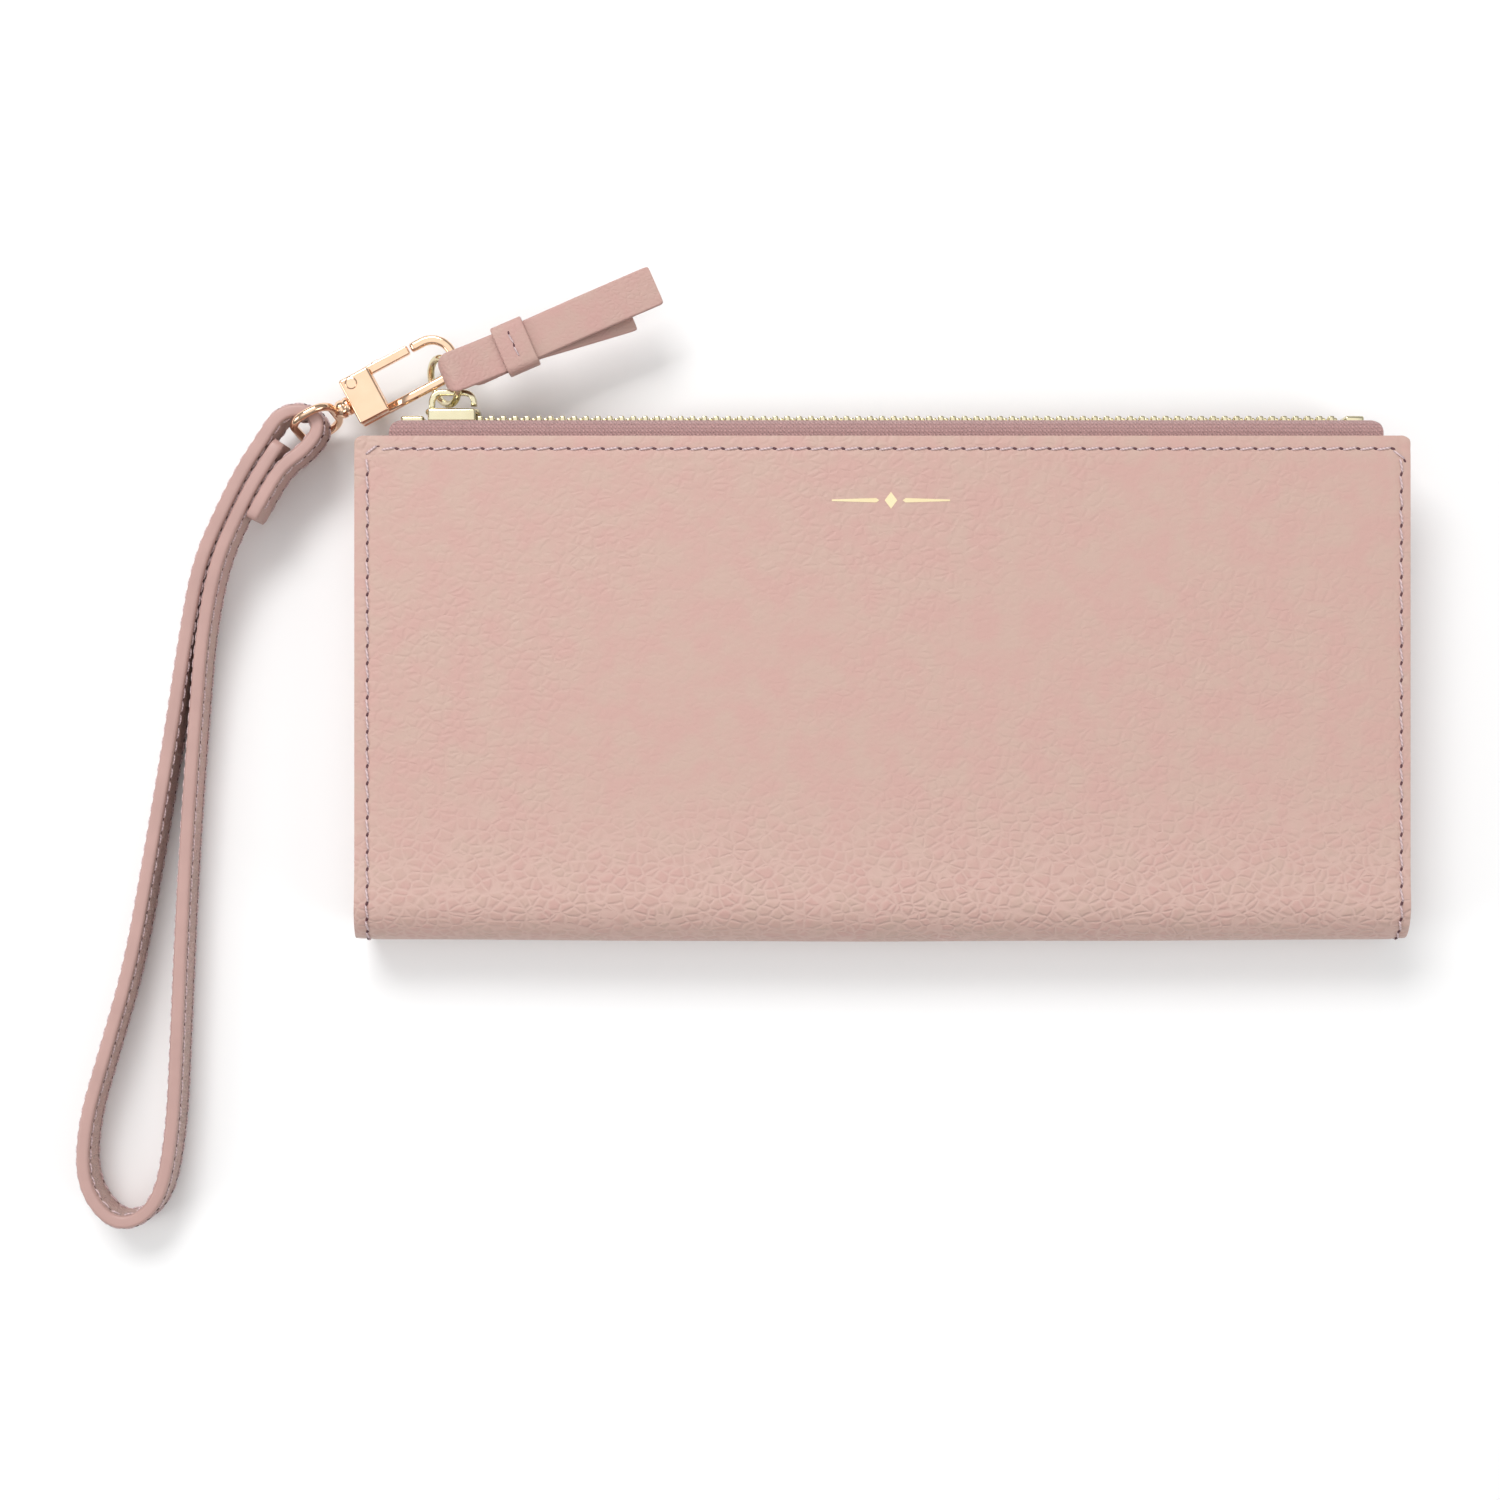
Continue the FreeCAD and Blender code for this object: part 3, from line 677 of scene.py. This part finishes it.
def shell_stitching(side_length, total):
    """One row up each side, round the bottom fold, and along each top edge."""
    def at(x, s):
        wider = x * (1 + FOLD_FLARE / HALF_X * flare(s, total))
        place, normal = shell_point(wider, s, side_length)
        return place + normal * softness(x, s, total), normal

    left = -HALF_X + STITCH_IN
    right = HALF_X - STITCH_IN_RIGHT
    row = []
    count = 160
    start = STITCH_IN + STITCH_CORNER
    for i in range(count + 1):
        row.append(at(left, start + (total - 2 * start) * i / count))
    side_row("stitches_left", row)
    row = [at(right, start + (total - 2 * start) * i / count) for i in range(count + 1)]
    side_row("stitches_right", row)
    for name, flip in (("stitches_top_front", False), ("stitches_top_back", True)):
        row = []
        for i in range(9):
            angle = math.radians(180 - 90 * i / 8)
            x = left + STITCH_CORNER * (1 + math.cos(angle))
            s = start - STITCH_CORNER * math.sin(angle)
            row.append(at(x, total - s if flip else s))
        stop = right - STITCH_CORNER
        middle = 60
        begin = left + STITCH_CORNER
        for i in range(1, middle + 1):
            x = begin + (stop - begin) * i / middle
            row.append(at(x, total - STITCH_IN if flip else STITCH_IN))
        s = start
        row.append(at(right, total - s if flip else s))
        side_row(name, row)


def side_row(name, row):
    points = [point for point, _ in row]
    normals = [normal for _, normal in row]
    stitches(name, "pouch", along_line(points, normals, STITCH_PITCH), STITCH_PITCH,
             THREAD_RADIUS, 0.17, "wallet_leather")


def foil_ornament():
    """A plain gold rule, diamond and rule, pressed into the front where a mark would be."""
    y = TOP_Y - 12.3 * MM
    x = 1.6 * MM
    lift = V((0, 0, 0.05 * MM))
    vertices = []
    faces = []

    def plate(outline):
        first = len(vertices)
        count = len(outline)
        for px, py in outline:
            spot = V((x + px, y + py, 0))
            spot.z = shell_surface(spot.x, spot.y) + 0.01 * MM
            vertices.append(spot)
        vertices.extend([v + lift for v in vertices[first:first + count]])
        faces.append(tuple(range(first + count, first + 2 * count)))
        for i in range(count):
            j = (i + 1) % count
            faces.append((first + i, first + j, first + count + j, first + count + i))

    size = 1.6 * MM
    plate([(-size * 0.75, 0), (0, -size), (size * 0.75, 0), (0, size)])
    for side in (-1, 1):
        plate([(side * 2.2 * MM, 0.0), (side * 2.8 * MM, -0.42 * MM), (side * 11.2 * MM, -0.16 * MM),
               (side * 11.2 * MM, 0.16 * MM), (side * 2.8 * MM, 0.42 * MM)])
    mesh = joined("foil_ornament", [mesh_from("foil", vertices, faces)])
    add_piece("foil_ornament", mesh, "pouch", FOIL, slot="zip_metal", smooth=False)


def shell_surface(x, y):
    total = 2 * (TOP_Y - FOLD_Y) + math.pi * FOLD_R
    return DEPTH + softness(x, TOP_Y - y, total)


def gussets():
    """Leather side walls folded inwards, closed round the end of the bottom fold. At the top each
    one turns in behind the rounded ends of the zip tapes, and closes the zip's channel."""
    rows = 40
    tab_rows = 16
    columns = 24
    tape_low, tape_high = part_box("zip_tape_front")
    behind = 0.75 * MM                # a tab's middle from the tape's outer face
    tape_half = tape_high[2] - MID_Z - behind
    tape_corner = 2.4 * MM
    tab_top = tape_high[1] - behind
    tab_bend = 2.2 * MM               # the height in which a tab turns out to its gusset
    for name, side in (("gusset_left", -1), ("gusset_right", 1)):
        low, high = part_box(name)
        outer = HALF_X - 0.25 * MM
        deep = min(abs(low[0]), abs(high[0]))
        inner_r = FOLD_R - PANEL + 0.15 * MM
        vertices = []
        tab_x = abs((tape_low if side < 0 else tape_high)[0]) - 0.7 * MM
        for i in range(tab_rows):
            y = tab_top + (high[1] + 0.3 * MM - tab_top) * i / tab_rows
            rise = max(0.0, y - (tape_high[1] - tape_corner))
            turned = tab_x - tape_corner + math.sqrt(tape_corner ** 2 - rise ** 2)
            out = max(0.0, 1 - (y - high[1]) / tab_bend) ** 2
            for j in range(columns + 1):
                t = -1 + 2 * j / columns
                fold = (1 - abs(t) ** 1.6) * (outer - deep - 0.4 * MM)
                x = turned + (outer - fold - turned) * out
                vertices.append(V((side * x, y, MID_Z + tape_half * t)))
        for i in range(rows + 1):
            y = high[1] + (FOLD_Y - inner_r - high[1]) * (i / rows)
            half = MID_Z - PANEL + 0.15 * MM
            depth = outer - deep
            if y < FOLD_Y:
                drop = min(1.0, (FOLD_Y - y) / inner_r)
                half = inner_r * math.sqrt(max(0.0, 1 - drop ** 2)) + 0.02 * MM
                depth *= math.sqrt(max(0.0, 1 - drop ** 2)) * 0.9 + 0.02
            ripple = 0.25 * MM * math.sin(i * 0.55 + side)
            for j in range(columns + 1):
                t = -1 + 2 * j / columns
                fold = (1 - abs(t) ** 1.6) * (depth - 0.4 * MM) + ripple * (1 - t * t)
                vertices.append(V((side * (outer - max(0.0, fold)), y, MID_Z + half * t)))
        sheet = mesh_from(name, vertices, grid_faces(tab_rows + rows + 1, columns + 1))
        mesh = apply_modifiers(sheet, ("SOLIDIFY", {"thickness": 0.8 * MM, "offset": side * -1.0}),
                               ("SUBSURF", {"levels": 1}))
        mesh = joined(name, [mesh])
        add_piece(name + "_leather", mesh, "pouch", PULL, stands_for=(name,), slot="wallet_leather")


# ======== zip ========
TOOTH_PITCH = 2.27 * MM


def zip_teeth():
    """Die-cut metal teeth: each a rounded jaw on the tape with a nib that meets the other row."""
    width = 1.15 * MM
    jaw_from = 0.7 * MM               # from the line where the rows meet
    reach = 2.35 * MM
    head_to = 0.9 * MM
    nib = -0.45 * MM                  # past that line, between the other row's teeth
    for row, side in (("zip_teeth_front", 1), ("zip_teeth_back", -1)):
        low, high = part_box(row)
        count = round((high[0] - low[0] - width) / TOOTH_PITCH) + 1
        tall = (high[1] - low[1]) / 2
        y = (high[1] + low[1]) / 2
        jaw = soft_box("jaw", V((0, y, MID_Z + side * (reach + jaw_from) / 2)), AXES,
                       (width / 2, tall, (reach - jaw_from) / 2), 0.28 * MM, 3)
        head = soft_box("head", V((0, y, MID_Z + side * (head_to + nib) / 2)), AXES,
                        (width * 0.40, tall * 0.86, (head_to - nib) / 2), 0.3 * MM, 3)
        tooth = joined("tooth", [jaw, head])
        copies = []
        for i in range(count):
            copy = tooth.copy()
            copy.transform(Matrix.Translation((low[0] + width / 2 + i * TOOTH_PITCH, 0, 0)))
            copies.append(copy)
        add_piece(row + "_shaped", joined(row, copies), "pouch", PALE_GOLD, stands_for=(row,),
                  slot="zip_metal")


def zip_ends():
    for node in ("zip_top_stop", "zip_end_stop"):
        low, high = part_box(node)
        centre = (V(low) + V(high)) / 2
        halves = [(h - l) / 2 for l, h in zip(low, high)]
        plate = soft_box(node, centre, AXES, halves, 0.45 * MM)
        rib = soft_box(node, centre + EY * (halves[1] * 0.35), AXES,
                       (halves[0] * 0.8, halves[1] * 0.8, halves[2] * 0.55), 0.3 * MM)
        add_piece(node + "_plate", joined(node, [plate, rib]), "pouch", PALE_GOLD,
                  stands_for=(node,), slot="zip_metal")


def slider():
    low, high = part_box("slider_body")
    centre = (V(low) + V(high)) / 2
    half_x = (high[0] - low[0]) / 2
    half_z = (high[2] - low[2]) / 2
    top = high[1]
    flange_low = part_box("zip_tape_front")[1][1] + 0.2 * MM
    parts = []
    roof_half = (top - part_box("zip_teeth_front")[1][1] - 0.25 * MM) / 2
    parts.append(shield("roof", centre, top - roof_half, roof_half, half_x, half_z))
    wall = 0.5 * MM
    for side in (-1, 1):
        middle = V((centre.x, (top + flange_low) / 2 - 0.15 * MM, centre.z + side * (half_z - wall)))
        halves = (half_x * 0.86, (top - flange_low) / 2, wall)
        parts.append(soft_box("flange", middle, AXES, halves, 0.35 * MM))
    base_half = 0.55 * MM
    parts.append(shield("base", centre, low[1] + base_half, base_half, half_x * 0.88, half_z))
    web = V((low[0] + 2.3 * MM, centre.y, centre.z))
    halves = (1.4 * MM, (top - low[1]) / 2 - 0.3 * MM, 0.14 * MM)
    parts.append(soft_box("web", web, AXES, halves, 0.06 * MM))
    add_piece("slider_shell", joined("slider_shell", parts), "slider", PALE_GOLD,
              stands_for=("slider_body",), slot="zip_metal")
    bridge()


def shield(name, centre, y, half_y, half_x, half_z):
    """A flat plate, wide at the nose and drawn in towards the tail, with rounded edges."""
    outline = []
    count = 32
    for i in range(count):
        angle = 2 * math.pi * i / count
        a = math.copysign(abs(math.cos(angle)) ** 0.5, math.cos(angle))
        b = math.copysign(abs(math.sin(angle)) ** 0.5, math.sin(angle))
        narrow = 1 - 0.16 * (a + 1) / 2
        outline.append((a * half_x, b * half_z * narrow))
    vertices = []
    bevel = min(half_y * 0.8, 0.4 * MM)
    levels = ((-half_y, bevel), (-half_y + bevel * 0.4, bevel * 0.3), (-half_y + bevel, 0),
              (half_y - bevel, 0), (half_y - bevel * 0.4, bevel * 0.3), (half_y, bevel))
    for rise, inset in levels:
        for a, b in outline:
            grow_a = 1 - inset / half_x
            grow_b = 1 - inset / half_z
            vertices.append(V((centre.x + a * grow_a, y + rise, centre.z + b * grow_b)))
    faces = grid_faces(len(levels), count, close_columns=True)
    cap_ends(faces, len(levels), count)
    return mesh_from(name, vertices, faces)


def bridge():
    low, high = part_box("slider_bridge")
    band = 0.55 * MM
    left = low[0] + band
    right = high[0] - band
    top = high[1] - band
    foot = low[1] - 0.3 * MM
    corner = 1.9 * MM
    path = [V((left, foot, MID_Z)), V((left, top - corner - 0.4 * MM, MID_Z))]
    path += arc(V((left + corner, top - corner, MID_Z)), corner, 180, 90, EX, EY, 8)
    path += arc(V((right - corner, top - corner, MID_Z)), corner, 90, 0, EX, EY, 8)
    path.append(V((right, low[1] + 0.75 * MM, MID_Z)))
    half = (high[2] - low[2]) / 2
    mesh = sweep("bridge", path, soft_section(band, half, 0.28 * MM, 3), planar_frames(path, EZ))
    add_piece("slider_arch", joined("slider_arch", [mesh]), "slider", PALE_GOLD,
              stands_for=("slider_bridge",), slot="zip_metal")


def jump_ring():
    """A round wire ring with its cut ends closed up at the back."""
    low_point = V(JOINTS["ring_swing"]["pos_m"])
    hook_point = V(JOINTS["clasp_swing"]["pos_m"])
    pull_point = V(JOINTS["pull_flip"]["pos_m"])
    centre = (low_point + hook_point) / 2
    along = (hook_point - low_point).normalized()
    front = (pull_point - centre).normalized()
    radius = (hook_point - low_point).length / 2
    gap = 2.5
    path = arc(centre, radius, -90 + gap, 270 - gap, along, front, 72)
    wire = 0.7 * MM
    mesh = sweep("ring", path, round_section(wire, 20), planar_frames(path, along.cross(front)))
    add_piece("jump_ring_wire", joined("jump_ring_wire", [mesh]), "ring", PALE_GOLD,
              stands_for=("jump_ring",), slot="zip_metal")


# ======== leather pull ========
def pull():
    root = V(JOINTS["pull_flip"]["pos_m"])
    across = -V(JOINTS["pull_flip"]["axis"])
    up = EZ
    along = across.cross(up)
    length = 42 * MM
    skin = 0.5 * MM
    eye = 1.95 * MM
    keeper_at = 9.5 * MM
    keeper_end = 15.8 * MM
    half_width = 3.9 * MM

    def layer(side, end, droop, shift):
        points = []
        tip = [end - 0.9 * MM, end - 0.4 * MM, end - 0.12 * MM, end]
        for a in [(end - 1.8 * MM) * i / 20 for i in range(21)] + tip:
            near = max(0.0, 1 - a / keeper_at)
            rise = skin * 1.15 + (eye - skin * 1.1) * near ** 1.6
            beyond = max(0.0, a - keeper_end)
            share = min(1, beyond / (length - keeper_end))
            rise += 0.012 * beyond + 0.25 * MM * math.sin(math.pi * share)
            points.append((a, side * rise + droop * beyond, shift * beyond))
        return points

    back = layer(-1, length - 6.5 * MM, -0.045, -0.11)
    front = layer(1, length, 0.0, 0.0)
    turn = []
    for i in range(1, 12):
        angle = math.radians(270 - 180 * i / 12)
        turn.append((eye * math.cos(angle) * 1.02, eye * math.sin(angle) * 1.04, 0.0))
    rows = list(reversed(back)) + turn + front
    path = [root + along * a + up * b + across * c for a, b, c in rows]
    directions = tangents(path)
    neck = 2.05 * MM
    vertices = []
    for i, (point, (a, b, c)) in enumerate(zip(path, rows)):
        normal = directions[i].cross(across).normalized()
        half = half_width
        if i <= len(back) + len(turn):
            wide = min(1.0, max(0.0, (a - 0.2 * MM) / (3.2 * MM)))
            half = neck + (half_width - neck) * wide * wide * (3 - 2 * wide)
        if i > len(back) + len(turn) / 2:
            short = min(1.0, max(0.0, -a / (eye * 1.02)))
            half = neck + (half_width - neck) * math.sqrt(1 - short ** 2)
        end = min(i, len(rows) - 1 - i)
        if end < 3:
            half -= (0.45, 0.20, 0.06)[end] * MM
        ring = soft_section(half, skin, skin * 0.75, 4)
        section_count = len(ring)
        dome = 0.10 * MM
        for p, q in ring:
            bow = dome * (1 - (p / half) ** 2)
            vertices.append(point + across * p + normal * (q + math.copysign(bow, q)))
    faces = grid_faces(len(path), section_count, close_columns=True)
    cap_ends(faces, len(path), section_count)
    mesh = joined("pull", [mesh_from("pull", vertices, faces)])
    mesh = apply_modifiers(mesh, ("SUBSURF", {"levels": 1}))
    add_piece("pull_leather", mesh, "pull", PULL, EDGE, stands_for=("pull_strip",), slot="pull_leather")
    paint_edges(mesh, across)
    keeper(root, along, across, up, keeper_at, keeper_end, half_width, skin)


def paint_edges(mesh, across):
    """The strip's cut edges are painted, so faces that look sideways take the second material."""
    for face in mesh.polygons:
        if abs(face.normal.dot(across)) > 0.75:
            face.material_index = 1


def keeper(root, along, across, up, start, end, half_width, skin):
    """A leather loop round both layers, its ends butted at the back and sewn with two stitches."""
    thick = 0.42 * MM
    ring = soft_section(half_width + 0.15 * MM + thick, 2 * skin + 0.45 * MM + thick, 1.0 * MM, 6)
    path = [root + across * a + up * b for a, b in ring]
    centre = root + along * (start + end) / 2
    path = [point - root + centre for point in path]
    half = (end - start) / 2
    frames = planar_frames(path, along, cyclic=True)
    mesh = sweep("keeper", path, soft_section(thick, half, thick * 0.7, 4), frames, cyclic=True)
    mesh = joined("keeper", [mesh])
    add_piece("keeper_loop", mesh, "pull", PULL, stands_for=("pull_keeper",), slot="pull_leather")
    top = 2 * skin + 0.45 * MM + 2 * thick
    line = []
    for i in range(2):
        point = centre + up * top + across * ((i - 0.5) * 2.6 * MM) - along * (0.1 * MM)
        line.append((point, across, up))
    stitches("keeper_stitches", "pull", line, 2.4 * MM, 0.16 * MM, 0.12, "pull_leather")


# ======== snap hook ========
CLASP_BACK = V(JOINTS["eye_swivel"]["axis"]).normalized()
CLASP_UP = V((CLASP_BACK.y, -CLASP_BACK.x, 0))
if CLASP_UP.y < 0:
    CLASP_UP = -CLASP_UP
HOOK_CENTRE = V(JOINTS["clasp_swing"]["pos_m"]) + CLASP_BACK * (0.75 * MM)
HOOK_R = 4.15 * MM
HOOK_WIRE = 0.9 * MM
BOX_START = 11.4 * MM
BOX_END = 17.7 * MM
BOX_HALF = 4.7 * MM
BOX_DEPTH = 2.4 * MM
EYE_START = 20.4 * MM
EYE_END = 30.0 * MM
EYE_HALF = 5.8 * MM
EYE_WIRE = 0.8 * MM
CLASP_AXES = (CLASP_BACK, CLASP_UP, EZ)


def at_clasp(back, up, z=0.0):
    return HOOK_CENTRE + CLASP_BACK * back + CLASP_UP * up + V((0, 0, z))


def snap_hook():
    path = [at_clasp(BOX_START + 0.4 * MM, -HOOK_R), at_clasp(6 * MM, -HOOK_R)]
    path += [at_clasp(-HOOK_R * math.sin(a), -HOOK_R * math.cos(a)) for a in
             [math.pi * i / 32 for i in range(33)]]
    path.append(at_clasp(1.6 * MM, HOOK_R))
    path.append(at_clasp(2.3 * MM, HOOK_R))
    section = soft_section(HOOK_WIRE, HOOK_WIRE, 0.62 * MM, 5)
    hook = sweep("hook", path, section, planar_frames(path, EZ))
    profile = [(0, HOOK_WIRE * 0.98), (0.25 * MM, HOOK_WIRE * 0.8), (0.32 * MM, HOOK_WIRE * 0.5)]
    nose = lathe("nose", at_clasp(2.2 * MM, HOOK_R), CLASP_BACK, profile, 20)
    add_piece("hook_wire", joined("hook_wire", [hook, nose]), "clasp", ROSE_GOLD,
              stands_for=("clasp_hook",), slot="clasp_metal")
    clasp_box()
    gate()
    swivel_eye()


def clasp_box():
    """The hook's square body: two cheeks over a core, open where the gate turns."""
    middle = (BOX_START + BOX_END) / 2
    half = (BOX_END - BOX_START) / 2
    slot = 1.0 * MM
    cheek = (BOX_DEPTH - slot) / 2
    parts = []
    for side in (-1, 1):
        centre = at_clasp(middle, 0, side * (slot + cheek))
        parts.append(soft_box("cheek", centre, CLASP_AXES, (half, BOX_HALF, cheek), 0.5 * MM, 5))
    core_low = -BOX_HALF + 0.12 * MM
    core_high = 1.1 * MM
    core = at_clasp(middle, (core_low + core_high) / 2)
    halves = (half - 0.05 * MM, (core_high - core_low) / 2, BOX_DEPTH - 0.7 * MM)
    parts.append(soft_box("core", core, CLASP_AXES, halves, 0.3 * MM, 3))
    back = at_clasp(BOX_END - 0.35 * MM, 2.6 * MM)
    halves = (0.3 * MM, 1.9 * MM, slot + 0.3 * MM)
    parts.append(soft_box("back", back, CLASP_AXES, halves, 0.15 * MM, 3))
    add_piece("clasp_case", joined("clasp_case", parts), "clasp", ROSE_GOLD,
              stands_for=("clasp_body",), slot="clasp_metal")
    gate_rivet()


def gate_rivet():
    """The pin that the gate turns on, with a low head on each cheek."""
    pivot = V(JOINTS["gate_open"]["pos_m"])
    head = 1.2 * MM
    rivets = []
    for side in (-1, 1):
        start = pivot + EZ * (side * (BOX_DEPTH - 0.1 * MM))
        profile = [(0, head), (0.22 * MM, head), (0.32 * MM, head * 0.88), (0.36 * MM, head * 0.6),
                   (0.37 * MM, head * 0.2)]
        rivets.append(lathe("rivet", start, EZ * side, profile, 36))
    shaft = lathe("shaft", pivot - EZ * BOX_DEPTH, EZ, [(0, 0.6 * MM), (2 * BOX_DEPTH, 0.6 * MM)], 24)
    add_piece("gate_rivet", joined("gate_rivet", rivets + [shaft]), "clasp", ROSE_GOLD,
              stands_for=("gate_pin",), slot="clasp_metal")


def gate():
    """The sprung gate: a bar that reaches the hook's nose, turning on the rivet."""
    thick = 0.8 * MM
    pivot_back = (V(JOINTS["gate_open"]["pos_m"]) - HOOK_CENTRE).dot(CLASP_BACK)
    tip = 2.95 * MM
    bar_end = BOX_START + 1.2 * MM
    parts = [soft_box("bar", at_clasp((tip + bar_end) / 2, HOOK_R), CLASP_AXES,
                      ((bar_end - tip) / 2, HOOK_WIRE, thick), 0.3 * MM, 4)]
    root_start = BOX_START + 0.3 * MM
    root = at_clasp((root_start + pivot_back) / 2, HOOK_R - 0.3 * MM)
    halves = ((pivot_back - root_start) / 2, 1.15 * MM, thick)
    parts.append(soft_box("root", root, CLASP_AXES, halves, 0.25 * MM, 3))
    pivot = V(JOINTS["gate_open"]["pos_m"])
    boss = 1.38 * MM
    profile = [(0, 1.2 * MM), (0.1 * MM, boss), (2 * thick - 0.1 * MM, boss), (2 * thick, 1.2 * MM)]
    parts.append(lathe("boss", pivot - EZ * thick, EZ, profile, 32))
    thumb = at_clasp(BOX_START - 1.6 * MM, HOOK_R + 0.55 * MM)
    halves = (0.8 * MM, 0.55 * MM, thick * 0.95)
    parts.append(soft_box("thumb", thumb, CLASP_AXES, halves, 0.3 * MM, 3))
    add_piece("gate_bar", joined("gate_bar", parts), "gate", ROSE_GOLD, stands_for=("clasp_gate",),
              slot="clasp_metal")


def swivel_eye():
    """The wire loop that the strap passes through, on a turned barrel that swivels in the body."""
    tall = V(JOINTS["strap_swing"]["axis"]).normalized()
    middle = (EYE_START + EYE_END) / 2
    half_back = (EYE_END - EYE_START) / 2 - EYE_WIRE
    outline = soft_section(half_back, EYE_HALF, 3.5 * MM, 12)
    path = [HOOK_CENTRE + CLASP_BACK * (middle + a) + tall * b for a, b in outline]
    normal = CLASP_BACK.cross(tall)
    frames = planar_frames(path, normal, cyclic=True)
    loop = sweep("loop", path, round_section(EYE_WIRE, 20), frames, cyclic=True)
    profile = []
    for along, radius in ((-1.5, 0.9), (0.15, 0.9), (0.16, 1.55), (0.35, 1.8), (1.0, 1.8), (1.15, 1.6),
                          (1.35, 1.6), (1.5, 1.8), (2.3, 1.8), (2.7, 1.55), (3.3, 1.15), (3.7, 0.85)):
        profile.append((along * MM, radius * MM))
    barrel = lathe("barrel", at_clasp(BOX_END, 0), CLASP_BACK, profile, 40)
    add_piece("swivel_loop", joined("swivel_loop", [loop, barrel]), "eye", ROSE_GOLD,
              stands_for=("swivel_eye",), slot="clasp_metal")


# ======== wrist strap ========
def strap_height(y):
    """Middle of the strap's width: level with the clasp at the top, on the table further down."""
    high, low = STRAP_SLOPE
    t = min(1, max(0, (high - y) / (high - low)))
    return STRAP_HIGH + (STRAP_LOW - STRAP_HIGH) * t * t * (3 - 2 * t)


def strap_path():
    """Points read from the smooth curve that the route's control points make."""
    curve = bpy.data.curves.new("strap_line", "CURVE")
    curve.dimensions = "3D"
    curve.resolution_u = 12
    spline = curve.splines.new("NURBS")
    spline.points.add(len(STRAP_ROUTE) - 1)
    for point, (x, y) in zip(spline.points, STRAP_ROUTE):
        point.co = (x * MM, y * MM, strap_height(y) * MM, 1)
    spline.order_u = 3
    spline.use_endpoint_u = True
    holder = bpy.data.objects.new("strap_line", curve)
    bpy.context.scene.collection.objects.link(holder)
    mesh = bpy.data.meshes.new_from_object(holder)
    path = [v.co.copy() for v in mesh.vertices]
    bpy.data.objects.remove(holder)
    bpy.data.meshes.remove(mesh)
    return path


def wrist_strap():
    path = strap_path()
    up = EZ
    along = tangents(path)
    half_width = STRAP_WIDTH / 2
    half_thick = STRAP_THICK / 2
    ring = soft_section(half_thick, half_width, 0.62 * MM, 4)
    count = len(ring)
    vertices = []
    for i, point in enumerate(path):
        across = along[i].cross(up).normalized()
        shrink = 0.86 if i in (0, len(path) - 1) else 1.0
        for a, b in ring:
            bow = 0.10 * MM * (1 - (b / half_width) ** 2)
            vertices.append(point + across * (a * shrink + math.copysign(bow, a)) + up * (b * shrink))
    faces = grid_faces(len(path), count, close_columns=True)
    cap_ends(faces, len(path), count)
    mesh = joined("strap", [mesh_from("strap", vertices, faces)])
    for face in mesh.polygons:
        if abs(face.normal.z) > 0.55:
            face.material_index = 1
    strap = add_piece("wrist_strap_band", mesh, "strap", STRAP, EDGE, stands_for=("wrist_strap",),
                      slot="strap_leather")
    seam = 1.25 * MM                  # the row of stitches from the strap's edge
    pitch = 2.6 * MM
    for side, edge in ((-1, -1), (-1, 1), (1, -1), (1, 1)):
        points = []
        normals = []
        for i, point in enumerate(path):
            across = along[i].cross(up).normalized()
            out = across * (side * (half_thick + 0.03 * MM))
            points.append(point + out + up * (edge * (half_width - seam)))
            normals.append(across * side)
        name = "strap_stitches_" + ("out" if side < 0 else "in") + ("_low" if edge < 0 else "_high")
        row = along_line(points, normals, pitch)[1:-1]
        stitches(name, "strap", row, pitch, 0.17 * MM, 0.10, "strap_leather")


def keep_cad_nodes():
    """CAD pieces whose shape is right keep it and get the object's own materials."""
    wanted = {
        "lining_front": LINING, "lining_back": LINING, "divider": LINING,
        "card_slots_left": LINING, "card_slots_right": LINING,
        "zip_tape_front": TAPE, "zip_tape_back": TAPE, "gate_spring": PALE_GOLD,
    }
    for name, material in wanted.items():
        node = frame["nodes"][name]
        if not node.material_slots:
            node.data.materials.append(material)
        for slot in node.material_slots:
            slot.material = material


camera_and_light()
wrist_strap()
wallet_shell()
foil_ornament()
gussets()
zip_teeth()
zip_ends()
slider()
jump_ring()
pull()
snap_hook()
keep_cad_nodes()
